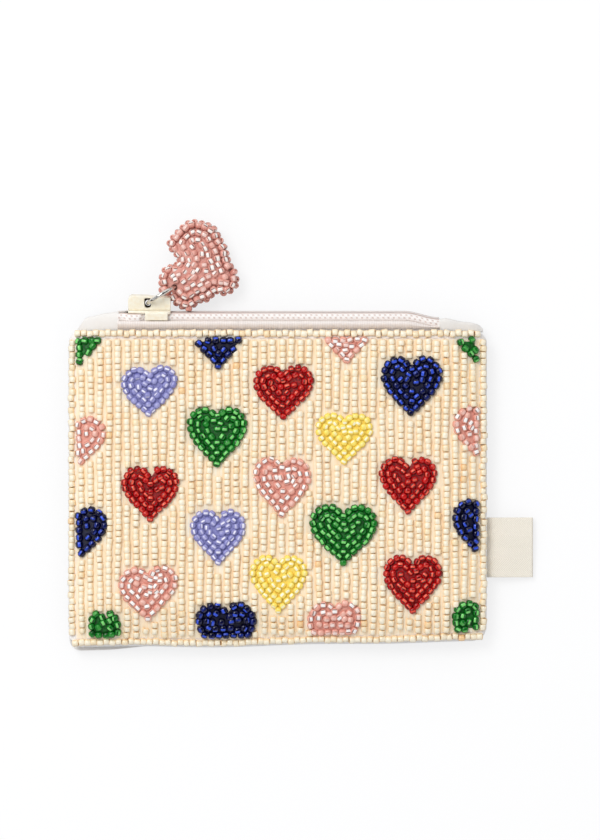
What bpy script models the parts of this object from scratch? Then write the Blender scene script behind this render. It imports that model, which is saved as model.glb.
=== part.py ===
# A beaded wallet lying on its back, closed: a pillow-shaped front of ivory beads with
# bead hearts, a plain back, a zip along the top, a slider with a puffed bead heart on a
# jump ring, and a folded ribbon in the right side seam.
# X runs along the zip, Y runs up the front to the zip, and Z is the thickness.
# The origin is the middle of the face that the wallet lies on.

import math

import bmesh
import bpy
import numpy as np
from mathutils import Matrix, Vector

mm = 0.001

# Panel
panel_width = 120 * mm
panel_height = 91 * mm
corner_radius = 3.5 * mm
pocket_depth = 5.0 * mm  # clear height between the two linings, wallet closed
edge_fall = 14 * mm  # width of the band in which the pillow falls to its seam
back_lift = 0.85 * mm  # how far the back's seamed edges rise off the table
layer_gap = 0.3 * mm
cloth_thick = 0.7 * mm
lining_thick = 0.5 * mm
back_peek = 1.3 * mm  # how far the back panel shows below the front
mouth_inset = 0.4 * mm  # the cloths stop this far short of the bead edge at the zip
hem_width = 3.2 * mm  # how much of each zip tape lies under the cloth
grid_columns = 16
grid_rows = 11

# Beads
bead_size = 1.7 * mm
column_pitch = 2.64 * mm
rib_depth = 1.3 * mm  # between two columns, down to the web that joins them
rib_crest = 0.95 * mm  # width of a column's top
piping_radius = 1.05 * mm
piping_segments = 18
piping_bevel_segments = 2
piping_inset = 1.2 * mm  # from the panel's edge to the row's middle

# Hearts
heart_width = 16.8 * mm
heart_height = 17.6 * mm
heart_proud = 0.6 * mm  # how far the hearts stand above the ivory beads
heart_segments = 20
heart_rows = 4  # rows of beads from a heart's edge to its middle
heart_row_pitch = 2.05 * mm
heart_groove = 1.0 * mm  # depth of the groove between two rows
heart_centre_share = 0.46  # along a heart, from the lobes' top to the tip

# Zip
chain_tilt = math.radians(15)  # how far the zip's outer face leans up from the front's edge
chain_rise = 4.1 * mm  # from the panel's top edge to the chain's middle line
chain_lift = 0.9 * mm  # how far the chain stands above the middle of the two hems
left_end_inset = 14.1 * mm  # from the panel's side to the chain's end
right_end_inset = 13.6 * mm
coil_width = 2.1 * mm  # from the chain's middle line to a coil's outer edge
coil_thick = 1.4 * mm
tooth_pitch = 1.8 * mm
tooth_reach = 0.7 * mm
tooth_gap = 0.5 * mm
tape_thick = 0.45 * mm
tape_edge = 0.35 * mm
tape_flat = 3.9 * mm  # from the middle line to the tape's fold
end_flat = 3.0 * mm  # the same at the right end
bend_length = 9.9 * mm  # the part of the chain that turns down towards the right tab
bend_drop = 1.8 * mm
tape_stations = 20

# Slider
slider_inset = 3.0 * mm  # from the chain's left end to the slider
slider_length = 12.2 * mm
plate_thick = 0.7 * mm
plate_half = 3.7 * mm
inner_half = 2.8 * mm
nose_half = 2.3 * mm
plate_corner = 0.8 * mm  # cut off both plates' corners at the slider's closed end
lip_length = 6.5 * mm
lip_wide = 0.7 * mm
lip_gap = 0.35 * mm
post_half = 0.5 * mm
post_length = 2.0 * mm
post_inset = 0.6 * mm
post_room = 0.35 * mm
run_gap = 0.4 * mm  # between the outer plate and the coils
end_room = 0.6 * mm  # left between the slider and the bend, zip fully open

# Crown
crown_half = 1.4 * mm
crown_height = 3.9 * mm
crown_slope = 0.5 * mm
crown_round = 1.4 * mm
eye_left = 4.7 * mm  # from the slider's left end
eye_wide = 1.9 * mm
eye_low = 0.25 * mm
eye_high = 3.2 * mm
slot_half = 0.65 * mm
slot_left = 7.2 * mm
slot_right = 11.3 * mm
slot_high = 2.3 * mm
pawl_half = 0.35 * mm
pawl_thick = 0.5 * mm
pawl_rise = 1.2 * mm
pawl_room = 0.35 * mm

# Ring and charm
ring_radius = 4.5 * mm
wire_radius = 0.42 * mm
ring_turn = math.radians(31)
ring_segments = 28
wire_segments = 8
channel_room = 0.35 * mm
charm_width = 23.4 * mm
charm_length = 21.8 * mm
charm_lean = 3.2 * mm  # how much nearer to the tip the near lobe's side is, for the lopsided heart
charm_thick = 8.2 * mm
charm_lift = 0.3 * mm  # its underside stays this far off the table
charm_turn = math.radians(-20.5)
charm_side_x = 10.22 * mm  # from the eye to a point at the near lobe's side
charm_side_y = -0.22 * mm
charm_segments = 32
charm_ring_shares = (1.0, 0.93, 0.76, 0.52, 0.26)
charm_fullness = 2.4

# Tabs over the zip's ends
tab_room = 0.4 * mm
tab_over = 0.2 * mm  # how far the tabs stand above the front cloth
tab_bevel = 0.5 * mm
tab_taper_share = 0.45
left_tab_reach = 11.4 * mm
left_tab_rise = 5.2 * mm
right_tab_reach = 12.6 * mm
right_tab_rise = 3.0 * mm
tab_slope_share = 0.8
tab_fall_share = 0.6

# Ribbon in the side seam
label_width = 17.2 * mm
label_reach = 13.0 * mm
label_middle = -17.2 * mm
label_thick = 0.35 * mm
label_fold = 0.45 * mm
label_droop = 0.9 * mm
label_arc_segments = 6

overrun = 4 * mm  # how far a cutter passes the faces that it cuts

half_width = panel_width / 2
half_height = panel_height / 2
cloth_top = half_height - mouth_inset
lining_top = cloth_top - hem_width - layer_gap
chain_left = -half_width + left_end_inset
chain_right = half_width - right_end_inset
chain_y = half_height + chain_rise
bend_start = chain_right - bend_length
slider_left = chain_left + slider_inset
field_x = half_width - piping_inset - piping_radius - layer_gap
field_low = -half_height + piping_inset + piping_radius + layer_gap
field_high = half_height - piping_inset - piping_radius - layer_gap
floor_level = cloth_thick + layer_gap + lining_thick
field_level = lining_thick + layer_gap + cloth_thick + layer_gap
seam_z = floor_level + back_lift + layer_gap / 2
back_hem = cloth_thick + layer_gap + tape_thick / 2
front_hem = floor_level + pocket_depth + lining_thick - tape_thick / 2
chain_z = (back_hem + front_hem) / 2 + chain_lift
tab_low = cloth_thick + layer_gap
tab_high = floor_level + pocket_depth + field_level - layer_gap + tab_over

tape_level = -coil_thick / 2 - layer_gap - tape_thick / 2
outer_low = coil_thick / 2 + run_gap
outer_high = outer_low + plate_thick
inner_high = tape_level - tape_thick / 2 - layer_gap
inner_low = inner_high - plate_thick
crown_low = outer_high + layer_gap
coil_spread = post_half + post_room + tooth_reach - tooth_gap / 2
slider_right = slider_left + slider_length
post_left = slider_left + post_inset
spread_start = post_left + post_length + post_room
spread_end = spread_start + tooth_pitch
slider_travel = bend_start - end_room - slider_right

zip_frame = Matrix.Translation((0, chain_y, chain_z)) @ Matrix.Rotation(chain_tilt, 4, "X")
eye_x = slider_left + eye_left + eye_wide / 2
eye_local = Vector((eye_x, crown_low + (eye_low + eye_high) / 2, 0))
eye_place = zip_frame @ eye_local
ring_way = Vector((math.cos(ring_turn), math.sin(ring_turn), 0))
ring_place = eye_place + ring_way * ring_radius
hinge_place = Vector((0, -half_height, seam_z))

# Each heart's middle as a share of the panel's half width and half height, its width and
# height as shares of heart_width and heart_height, and its colour. A heart at the panel's
# edge is cut off by the edge of the field.
heart_shares = {
    "heart_lavender_1": (-0.613, 0.596, 0.96, 0.90, "lavender"),
    "heart_red_1": (0.028, 0.589, 1.04, 0.97, "red"),
    "heart_navy_1": (0.640, 0.626, 1.06, 1.06, "navy"),
    "heart_green_1": (-0.288, 0.308, 1.04, 1.06, "green"),
    "heart_yellow_1": (0.318, 0.299, 0.98, 0.92, "yellow"),
    "heart_red_2": (-0.607, -0.051, 0.99, 0.98, "red"),
    "heart_pink_1": (0.022, -0.009, 0.99, 1.05, "pink"),
    "heart_red_3": (0.623, 0.002, 0.99, 1.01, "red"),
    "heart_lavender_2": (-0.283, -0.323, 0.95, 0.97, "lavender"),
    "heart_green_2": (0.315, -0.305, 1.17, 1.06, "green"),
    "heart_pink_2": (-0.618, -0.677, 1.02, 0.96, "pink"),
    "heart_yellow_2": (0.005, -0.618, 0.98, 1.02, "yellow"),
    "heart_red_4": (0.645, -0.620, 1.02, 1.04, "red"),
    "heart_green_top_left": (-0.945, 0.945, 0.90, 0.95, "green"),
    "heart_navy_top": (-0.280, 0.935, 1.00, 1.02, "navy"),
    "heart_pink_top": (0.332, 0.955, 0.98, 0.96, "pink"),
    "heart_green_top_right": (0.965, 0.940, 0.95, 0.98, "green"),
    "heart_pink_left": (-0.958, 0.277, 0.95, 0.86, "pink"),
    "heart_navy_left": (-0.958, -0.300, 1.02, 0.90, "navy"),
    "heart_pink_right": (0.975, 0.330, 0.92, 0.92, "pink"),
    "heart_navy_right": (0.975, -0.270, 0.96, 1.00, "navy"),
    "heart_green_bottom_left": (-0.826, -0.965, 0.52, 0.96, "green"),
    "heart_navy_bottom": (-0.246, -0.918, 0.97, 1.00, "navy"),
    "heart_pink_bottom": (0.272, -0.905, 0.88, 0.96, "pink"),
    "heart_green_bottom_right": (0.965, -0.905, 0.90, 0.98, "green"),
}

# Colour as seen on screen, roughness, metallic
finishes = {
    "ivory": ((0.98, 0.88, 0.70), 0.35, 0.0),
    "cotton": ((0.95, 0.93, 0.90), 0.9, 0.0),
    "lining": ((0.93, 0.89, 0.82), 0.85, 0.0),
    "tape": ((0.92, 0.87, 0.84), 0.8, 0.0),
    "coil": ((0.90, 0.83, 0.80), 0.5, 0.0),
    "paint": ((0.98, 0.93, 0.80), 0.35, 0.0),
    "steel": ((0.80, 0.79, 0.76), 0.15, 1.0),
    "ribbon": ((0.93, 0.88, 0.76), 0.6, 0.0),
    "red": ((0.72, 0.05, 0.07), 0.2, 0.0),
    "green": ((0.07, 0.45, 0.13), 0.2, 0.0),
    "navy": ((0.03, 0.06, 0.35), 0.2, 0.0),
    "lavender": ((0.52, 0.55, 0.85), 0.35, 0.0),
    "yellow": ((0.98, 0.85, 0.30), 0.35, 0.0),
    "pink": ((0.90, 0.62, 0.56), 0.2, 0.0),
}


def clear_scene():
    for old in list(bpy.data.objects):
        bpy.data.objects.remove(old, do_unlink=True)


def make_collection(name):
    group = bpy.data.collections.new(name)
    bpy.context.scene.collection.children.link(group)
    return group


def linear_colour(colour):
    """A colour as seen on screen, turned into the linear values that a shader takes."""
    return [((c + 0.055) / 1.055) ** 2.4 if c > 0.04045 else c / 12.92 for c in colour]


def make_finish(name):
    """One Principled material from the finishes table."""
    colour, roughness, metallic = finishes[name]
    finish = bpy.data.materials.new(name)
    finish.use_nodes = True
    shader = finish.node_tree.nodes["Principled BSDF"]
    shader.inputs["Base Color"].default_value = (*linear_colour(colour), 1)
    shader.inputs["Roughness"].default_value = roughness
    shader.inputs["Metallic"].default_value = metallic
    return finish


def add_object(name, data, group, finish=None):
    """Links a mesh or a curve as an object, with its material."""
    piece = bpy.data.objects.new(name, data)
    group.objects.link(piece)
    if finish:
        data.materials.append(finish)
    return piece


def mark_cutter(piece):
    piece.hide_render = True
    piece.display_type = "WIRE"


def hold(piece, holder):
    """Parents a piece to an empty and leaves the piece where it is."""
    piece.parent = holder
    piece.matrix_parent_inverse = Matrix.Translation(holder.location).inverted()


def make_holder(name, place, group):
    holder = bpy.data.objects.new(name, None)
    holder.location = place
    holder.empty_display_size = wire_radius
    group.objects.link(holder)
    return holder


def smooth_step(value, start, end):
    """0 up to start, 1 from end on, and an even curve between them."""
    t = np.clip((value - start) / (end - start), 0, 1)
    return t * t * (3 - 2 * t)


def fullness(x, y):
    """How full the pillow is, from 0 at its side and bottom seams to 1 inside."""
    from_side = np.clip((half_width - np.abs(x)) / edge_fall, 0, 1)
    from_bottom = np.clip((y + half_height) / edge_fall, 0, 1)
    return np.sin(from_side * math.pi / 2) * np.sin(from_bottom * math.pi / 2)


def back_height(x, y):
    """Underside of the back panel."""
    return back_lift * (1 - fullness(x, y))


def front_height(x, y):
    """Underside of the front lining."""
    floor = back_height(x, y) + floor_level
    return floor + layer_gap + (pocket_depth - layer_gap) * fullness(x, y)


def rows_between(low, high):
    """The rows that all the panel's layers share, closest at the top and the bottom."""
    shares = (1 - np.cos(np.linspace(0, math.pi, grid_rows + 1))) / 2
    rows = -half_height + panel_height * shares
    inside = rows[(rows > low + layer_gap) & (rows < high - layer_gap)]
    return np.concatenate([[low], inside, [high]])


def even_columns():
    """Column places as shares of the half width, closest at the sides."""
    return np.sin(np.linspace(-math.pi / 2, math.pi / 2, grid_columns + 1))


def surface_mesh(name, points):
    """An open surface through a grid of points, given as rows x columns x 3."""
    rows, columns = points.shape[:2]
    index = np.arange(rows * columns).reshape(rows, columns)
    corners = (index[:-1, :-1], index[:-1, 1:], index[1:, 1:], index[1:, :-1])
    quads = np.stack(corners, axis=-1).reshape(-1, 4)
    mesh = bpy.data.meshes.new(name)
    mesh.from_pydata(points.reshape(-1, 3).tolist(), [], quads.tolist())
    mesh.update()
    return mesh


def add_thickness(piece, thickness, offset):
    solid = piece.modifiers.new("thickness", "SOLIDIFY")
    solid.thickness = thickness
    solid.offset = offset
    solid.use_even_offset = True


def panel_points(half, low, high, radius, shares, height):
    """Grid over a rectangle with round corners: each row is as long as the outline is there."""
    rows = rows_between(low, high)
    from_end = np.minimum(rows - low, high - rows)
    short = np.clip(radius - from_end, 0, radius)
    half_rows = half - radius + np.sqrt(radius**2 - short**2)
    x = half_rows[:, None] * shares[None, :]
    y = np.repeat(rows[:, None], len(shares), axis=1)
    return np.stack([x, y, height(x, y)], axis=-1)


def thicken_upward(mesh, thickness_at):
    """Turns an open surface into a closed solid, raised at each point by the thickness there."""
    cage = bmesh.new()
    cage.from_mesh(mesh)
    made = bmesh.ops.extrude_face_region(cage, geom=cage.faces[:], use_keep_orig=True)
    for part in made["geom"]:
        if isinstance(part, bmesh.types.BMVert):
            part.co.z += thickness_at(part.co.x)
    bmesh.ops.recalc_face_normals(cage, faces=cage.faces)
    cage.to_mesh(mesh)
    cage.free()


def make_layer(name, low, high, height, thickness, group, finish):
    """One layer of cloth, from its underside up."""
    points = panel_points(half_width, low, high, corner_radius, even_columns(), height)
    mesh = surface_mesh(name, points)
    thicken_upward(mesh, lambda x: thickness)
    return add_object(name, mesh, group, finish)


def make_cloths(group, finish):
    """The four cloth layers, from the table up. Both linings stop where the tapes' hems start."""
    back_low = -half_height - back_peek
    back = make_layer(
        "back_panel", back_low, cloth_top, back_height, cloth_thick, group, finish["cotton"]
    )

    def back_lining_height(x, y):
        return back_height(x, y) + cloth_thick + layer_gap

    def cloth_height(x, y):
        return front_height(x, y) + lining_thick + layer_gap

    lining_back = make_layer(
        "lining_back", -half_height, lining_top, back_lining_height, lining_thick, group, finish["lining"]
    )
    lining_front = make_layer(
        "lining_front", -half_height, lining_top, front_height, lining_thick, group, finish["lining"]
    )
    front = make_layer(
        "front_cloth", -half_height, cloth_top, cloth_height, cloth_thick, group, finish["cotton"]
    )
    return [back, lining_back], [lining_front, front]


def field_height(x, y):
    """Underside of the bead field."""
    return front_height(x, y) + field_level


def make_bead_field(group, finish):
    """The ivory beads: a rib with sloping sides for each column, on a thin web."""
    columns = round(2 * field_x / column_pitch)
    pitch = 2 * field_x / columns
    middles = -field_x + (np.arange(columns) + 0.5) * pitch
    across = np.array([-bead_size, -rib_crest, rib_crest, bead_size]) / 2
    x = np.concatenate([[-field_x], np.ravel(middles[:, None] + across), [field_x]])
    points = panel_points(field_x, field_low, field_high, 0, x / field_x, field_height)

    def ribbed(x):
        from_middle = abs((x + field_x) % pitch - pitch / 2)
        is_crest = from_middle < (bead_size + rib_crest) / 4
        return bead_size - rib_depth * (not is_crest)

    mesh = surface_mesh("bead_field", points)
    thicken_upward(mesh, ribbed)
    return add_object("bead_field", mesh, group, finish)


def flat_solid(name, outlines, half_thick, matrix, group, finish=None):
    """Outlines in a plane, later ones being holes, filled and given thickness, as one mesh."""
    curve = bpy.data.curves.new(name, "CURVE")
    curve.dimensions = "2D"
    curve.fill_mode = "BOTH"
    curve.extrude = half_thick
    for outline in outlines:
        spline = curve.splines.new("POLY")
        spline.points.add(len(outline) - 1)
        for point, (x, y) in zip(spline.points, outline):
            point.co = (x, y, 0, 1)
        spline.use_cyclic_u = True
    shape = add_object(name + "_outline", curve, group)
    shape.matrix_world = matrix
    graph = bpy.context.evaluated_depsgraph_get()
    mesh = bpy.data.meshes.new_from_object(shape.evaluated_get(graph))
    mesh.name = name
    bpy.data.objects.remove(shape, do_unlink=True)
    weld_caps(mesh)
    piece = add_object(name, mesh, group, finish)
    piece.matrix_world = matrix
    return piece


def weld_caps(mesh):
    """Joins a filled curve's loose caps to its sides and turns every face outward."""
    cage = bmesh.new()
    cage.from_mesh(mesh)
    bmesh.ops.remove_doubles(cage, verts=cage.verts, dist=0.001 * mm)
    bmesh.ops.recalc_face_normals(cage, faces=cage.faces)
    cage.to_mesh(mesh)
    cage.free()


def cut_with(piece, cutter, name="cut", operation="DIFFERENCE"):
    change = piece.modifiers.new(name, "BOOLEAN")
    change.object = cutter
    change.operation = operation
    change.solver = "EXACT"


def heart_outline(middle_x, middle_y, width, height, segments=heart_segments):
    """The heart curve x = sin^3 t, y = 13 cos t - 5 cos 2t - 2 cos 3t - cos 4t, in a box."""
    t = np.linspace(0, 2 * math.pi, segments, endpoint=False)
    x = np.sin(t) ** 3
    y = 13 * np.cos(t) - 5 * np.cos(2 * t) - 2 * np.cos(3 * t) - np.cos(4 * t)
    x = x / (x.max() - x.min())
    y = (y - (y.max() + y.min()) / 2) / (y.max() - y.min())
    return np.stack([middle_x + width * x, middle_y + height * y], axis=-1)


def clip_to_side(outline, axis, limit, keep_below):
    """The part of an outline on one side of a straight line along an axis."""
    sign = 1 if keep_below else -1
    kept = []
    for start, end in zip(outline, np.roll(outline, -1, axis=0)):
        inside = sign * (start[axis] - limit) <= 0
        if inside:
            kept.append(start)
        if inside != (sign * (end[axis] - limit) <= 0):
            share = (limit - start[axis]) / (end[axis] - start[axis])
            kept.append(start + share * (end - start))
    return np.array(kept)


def clip_to_field(outline, margin):
    """An outline kept inside the field's rectangle, widened by a margin."""
    outline = clip_to_side(outline, 0, field_x + margin, True)
    outline = clip_to_side(outline, 0, -field_x - margin, False)
    outline = clip_to_side(outline, 1, field_high + margin, True)
    return clip_to_side(outline, 1, field_low - margin, False)


def ring_quads(first, second, count):
    """Faces between two rings of points."""
    quads = []
    for i in range(count):
        after = (i + 1) % count
        quads.append((first * count + i, first * count + after, second * count + after, second * count + i))
    return quads


def end_fan(ring, count, pole):
    """Triangles from a ring of points to one point."""
    return [(ring * count + i, ring * count + (i + 1) % count, pole) for i in range(count)]


def ring_solid(name, rings, low_end, high_end, group, finish):
    """A closed solid through rings of points, given as rings x points x 3, and a point at each end."""
    upper, count = rings.shape[:2]
    places = [*rings.reshape(-1, 3).tolist(), low_end, high_end]
    faces = end_fan(0, count, len(places) - 2) + end_fan(upper - 1, count, len(places) - 1)
    for ring in range(upper - 1):
        faces += ring_quads(ring, ring + 1, count)
    mesh = bpy.data.meshes.new(name)
    mesh.from_pydata(places, [], faces)
    weld_caps(mesh)
    return add_object(name, mesh, group, finish)


def make_heart(name, x, y, width, height, group, finish):
    """Rings of the outline shrink to its middle. On top, grooves part the rows of beads;
    underneath, the heart follows the cloth."""
    outline = heart_outline(x, y, width, height)
    middle = np.array([x, y + height * (0.5 - heart_centre_share)])
    top = bead_size + heart_proud
    steps = np.arange(2 * heart_rows)  # from the edge inwards: groove, row, groove, row
    shares = 1 - steps * heart_row_pitch / heart_width
    rises = np.where(steps % 2, top, top - heart_groove)
    under = shares[:-1:3]
    order = np.concatenate([under[::-1], shares])
    levels = np.concatenate([0 * under, rises])
    flat = middle + (outline - middle) * order[:, None, None]
    heights = field_height(flat[..., 0], flat[..., 1]) + levels[:, None]
    rings = np.concatenate([flat, heights[..., None]], axis=-1)
    centre_height = field_height(*middle)
    return ring_solid(
        name, rings, (*middle, centre_height), (*middle, centre_height + top), group, finish
    )


def make_hearts(group, cutters, finish, field):
    """Each heart fills a pocket in the field, with a clearance round it. A heart that passes
    the field's edge is cut off there."""
    pockets = bpy.data.collections.new("Heart pockets")
    cutters.children.link(pockets)
    middle = Matrix.Translation((0, 0, front_height(0, 0) + field_level))
    corners = box_outline(-field_x, field_x, field_low, field_high)
    block = flat_solid("field_block", [corners], pocket_depth + overrun, middle, cutters)
    mark_cutter(block)
    hearts = []
    for name, (x_share, y_share, wide, high, colour) in heart_shares.items():
        x, y = x_share * half_width, y_share * half_height
        width, height = wide * heart_width, high * heart_height
        heart = make_heart(name, x, y, width, height, group, finish[colour])
        if abs(x) + width / 2 > field_x or abs(y) + height / 2 > field_high:
            cut_with(heart, block, "field_edge", "INTERSECT")
        hearts.append(heart)
        around = heart_outline(x, y, width + 2 * layer_gap, height + 2 * layer_gap)
        around = clip_to_field(around, overrun)
        pocket = flat_solid(name + "_pocket", [around], pocket_depth + overrun, middle, pockets)
        mark_cutter(pocket)
    change = field.modifiers.new("heart_pockets", "BOOLEAN")
    change.operand_type = "COLLECTION"
    change.collection = pockets
    change.operation = "DIFFERENCE"
    change.solver = "EXACT"
    return hearts


def make_tube(name, points, radius, sides_level, group, finish):
    """A round bar through a list of points, with closed ends."""
    curve = bpy.data.curves.new(name, "CURVE")
    curve.dimensions = "3D"
    curve.bevel_depth = radius
    curve.bevel_resolution = sides_level
    curve.use_fill_caps = True
    spline = curve.splines.new("POLY")
    spline.points.add(len(points) - 1)
    for point, place in zip(spline.points, points):
        point.co = (*place, 1)
    return add_object(name, curve, group, finish)


def piping_path(start, end):
    """Points along one edge of the panel, resting on the cloth, closest at the ends."""
    shares = (1 - np.cos(np.linspace(0, math.pi, piping_segments))) / 2
    x = start[0] + (end[0] - start[0]) * shares
    y = start[1] + (end[1] - start[1]) * shares
    return np.stack([x, y, field_height(x, y) + piping_radius], axis=-1)


def make_piping(group, finish):
    """Four rows of beads along the panel's edges. The upright rows end short of the others."""
    side = half_width - piping_inset
    top = half_height - piping_inset
    short = top - 2 * piping_radius - layer_gap
    ends = {
        "piping_top": ((-side, top), (side, top)),
        "piping_bottom": ((-side, -top), (side, -top)),
        "piping_left": ((-side, -short), (-side, short)),
        "piping_right": ((side, -short), (side, short)),
    }
    return [
        make_tube(name, piping_path(*way), piping_radius, piping_bevel_segments, group, finish)
        for name, way in ends.items()
    ]


def chain_drop(x):
    """How far the chain has turned down, towards the right tab."""
    return bend_drop * smooth_step(x, bend_start, chain_right)


def chain_spread(x):
    """How far each coil stands off the middle line, to pass the slider's post."""
    return coil_spread * (1 - smooth_step(x, spread_start, spread_end))


def from_zip(x, out, across):
    """World points of places given along the chain, out of its face and across it."""
    y = chain_y + out * math.cos(chain_tilt) - across * math.sin(chain_tilt)
    z = chain_z + out * math.sin(chain_tilt) + across * math.cos(chain_tilt)
    return np.stack([x, y - chain_drop(x), z + 0 * x], axis=-1)


def make_coil(name, side, group, finish):
    """Half of the chain: a strip with a zigzag inner edge that fits the other half's."""
    steps = round((chain_right - chain_left) / (tooth_pitch / 2))
    x = np.linspace(chain_left, chain_right, steps + 1)
    teeth = tooth_reach * np.where(np.arange(steps + 1) % 2, 1, -1)
    spread = side * chain_spread(x)
    inner = from_zip(x, 0 * x, teeth + side * tooth_gap / 2 + spread)
    outer = from_zip(x, 0 * x, side * coil_width + spread)
    points = np.stack([inner, outer] if side > 0 else [outer, inner])
    coil = add_object(name, surface_mesh(name, points), group, finish)
    add_thickness(coil, coil_thick, 0)
    return coil


def tape_path(x, side, hem_z):
    """Across one tape, from the chain's middle line to its hem under the cloth."""
    flat = tape_flat + (end_flat - tape_flat) * smooth_step(x, bend_start, chain_right)
    level = tape_level + 0 * x
    edge = from_zip(x, level, side * (tape_edge + chain_spread(x)))
    fold = from_zip(x, level, side * flat)

    def under_cloth(y, z):
        return np.stack([x, y + 0 * x, z + 0 * x], axis=-1)

    lead = under_cloth(cloth_top + layer_gap + tape_thick, hem_z + side * tape_thick)
    turn = under_cloth(cloth_top - layer_gap / 2, hem_z)
    hem = under_cloth(cloth_top - hem_width, hem_z)
    return np.stack([edge, (edge + fold) / 2, fold, lead, turn, hem])


def make_tape(name, side, hem_z, group, finish):
    """One half of the zip's tape, folded from the chain's face down to the cloth's edge."""
    ends = np.linspace(chain_left, chain_right, tape_stations)
    x = np.unique(np.concatenate([ends, [spread_start, spread_end, bend_start]]))
    points = tape_path(x, side, hem_z)
    tape = add_object(name, surface_mesh(name, points), group, finish)
    add_thickness(tape, tape_thick, 0)
    return tape


def plate_outline(half_left, half_right, left, right):
    """A slider plate seen from outside: its corners are cut off at the closed end."""
    return [
        (left, -half_left),
        (right - plate_corner, -half_right),
        (right, -half_right + plate_corner),
        (right, half_right - plate_corner),
        (right - plate_corner, half_right),
        (left, half_left),
    ]


def box_outline(left, right, low, high):
    return [(left, low), (right, low), (right, high), (left, high)]


def plate_frame(level):
    """Puts an outline, drawn along the chain and across it, at a level out of its face."""
    turn = Matrix.Rotation(math.pi / 2, 4, "X")
    return zip_frame @ Matrix.Translation((0, level, 0)) @ turn


def make_slider_body(group, cutters, finish):
    """Two plates joined by the post that parts the coils, with a lip down each side."""
    body = flat_solid(
        "slider_body",
        [plate_outline(nose_half, plate_half, slider_left, slider_right)],
        plate_thick / 2,
        plate_frame(outer_low + plate_thick / 2),
        group,
        finish,
    )
    inner = flat_solid(
        "slider_inner_plate",
        [plate_outline(nose_half, inner_half, slider_left, slider_right)],
        plate_thick / 2,
        plate_frame(inner_low + plate_thick / 2),
        cutters,
    )
    post_low = inner_low + plate_thick / 2
    post_high = outer_low + plate_thick / 2
    post = flat_solid(
        "slider_post",
        [box_outline(post_left, post_left + post_length, -post_half, post_half)],
        (post_high - post_low) / 2,
        plate_frame((post_high + post_low) / 2),
        cutters,
    )
    lip_low = tape_level + tape_thick / 2 + lip_gap
    lip_high = outer_low + plate_thick / 2
    lip_right = slider_right - plate_corner
    for side in (-1, 1):
        near, far = sorted((side * (plate_half - lip_wide), side * plate_half))
        lip = flat_solid(
            "slider_lip",
            [box_outline(lip_right - lip_length, lip_right, near, far)],
            (lip_high - lip_low) / 2,
            plate_frame((lip_high + lip_low) / 2),
            cutters,
        )
        mark_cutter(lip)
        cut_with(body, lip, "lip", "UNION")
    for joined in (post, inner):
        mark_cutter(joined)
        cut_with(body, joined, "join", "UNION")
    hole = flat_solid(
        "pawl_hole",
        [box_outline(*pawl_hole_ends(), -slot_half, slot_half)],
        plate_thick,
        plate_frame(outer_low + plate_thick / 2),
        cutters,
    )
    mark_cutter(hole)
    cut_with(body, hole, "pawl_hole")
    return body


def pawl_hole_ends():
    """The hole in the outer plate that the pawl's leg goes through."""
    right = slider_left + slot_right
    return right - pawl_thick - 3 * pawl_room, right


def make_crown(group, cutters, finish):
    """A bar on the outer plate, with an eye for the ring and a slot for the lock spring."""
    high = crown_low + crown_height
    step = crown_round * (1 - math.sqrt(0.5))
    outline = [
        (slider_left, crown_low),
        (slider_right, crown_low),
        (slider_right, high - crown_slope - step),
        (slider_right - step, high - crown_slope),
        (slider_left + crown_round, high),
        (slider_left + step, high - step),
        (slider_left, high - crown_round),
    ]
    left = slider_left + eye_left
    eye = box_outline(left, left + eye_wide, crown_low + eye_low, crown_low + eye_high)
    crown = flat_solid("slider_crown", [outline, eye], crown_half, zip_frame, group, finish)
    slot = flat_solid(
        "crown_slot",
        [
            box_outline(
                slider_left + slot_left,
                slider_left + slot_right,
                crown_low - overrun,
                crown_low + slot_high,
            )
        ],
        slot_half,
        zip_frame,
        cutters,
    )
    mark_cutter(slot)
    cut_with(crown, slot, "spring_slot")
    return crown


def make_pawl(group, finish):
    """The lock spring: an arm inside the crown, and a leg down to the coils."""
    left = slider_left + slot_left + pawl_room
    right = slider_left + slot_right - pawl_room
    arm_low = crown_low + pawl_rise
    tip = coil_thick / 2 + layer_gap
    outline = [
        (left, arm_low),
        (right - pawl_thick, arm_low),
        (right - pawl_thick, tip),
        (right, tip),
        (right, arm_low + pawl_thick),
        (left, arm_low + pawl_thick),
    ]
    return flat_solid("slider_pawl", [outline], pawl_half, zip_frame, group, finish)


def ring_frame():
    """Stands a ring upright, along the way from the eye to the charm."""
    upright = Matrix.Rotation(math.pi / 2, 4, "X")
    return Matrix.Translation(ring_place) @ Matrix.Rotation(ring_turn, 4, "Z") @ upright


def make_torus(name, minor, group, finish=None):
    """A ring with its faces in place, taken from the torus primitive."""
    bpy.ops.mesh.primitive_torus_add(
        major_radius=ring_radius,
        minor_radius=minor,
        major_segments=ring_segments,
        minor_segments=wire_segments,
    )
    made = bpy.context.active_object
    mesh = made.data
    mesh.name = name
    bpy.data.objects.remove(made, do_unlink=True)
    ring = add_object(name, mesh, group, finish)
    ring.matrix_world = ring_frame()
    return ring


def charm_outline():
    """A heart sheared along its length: the near lobe leans to the tip, the far one from it."""
    outline = heart_outline(0, 0, charm_width, charm_length, charm_segments)
    outline[:, 1] += charm_lean * outline[:, 0] / (charm_width / 2)
    return outline


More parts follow.
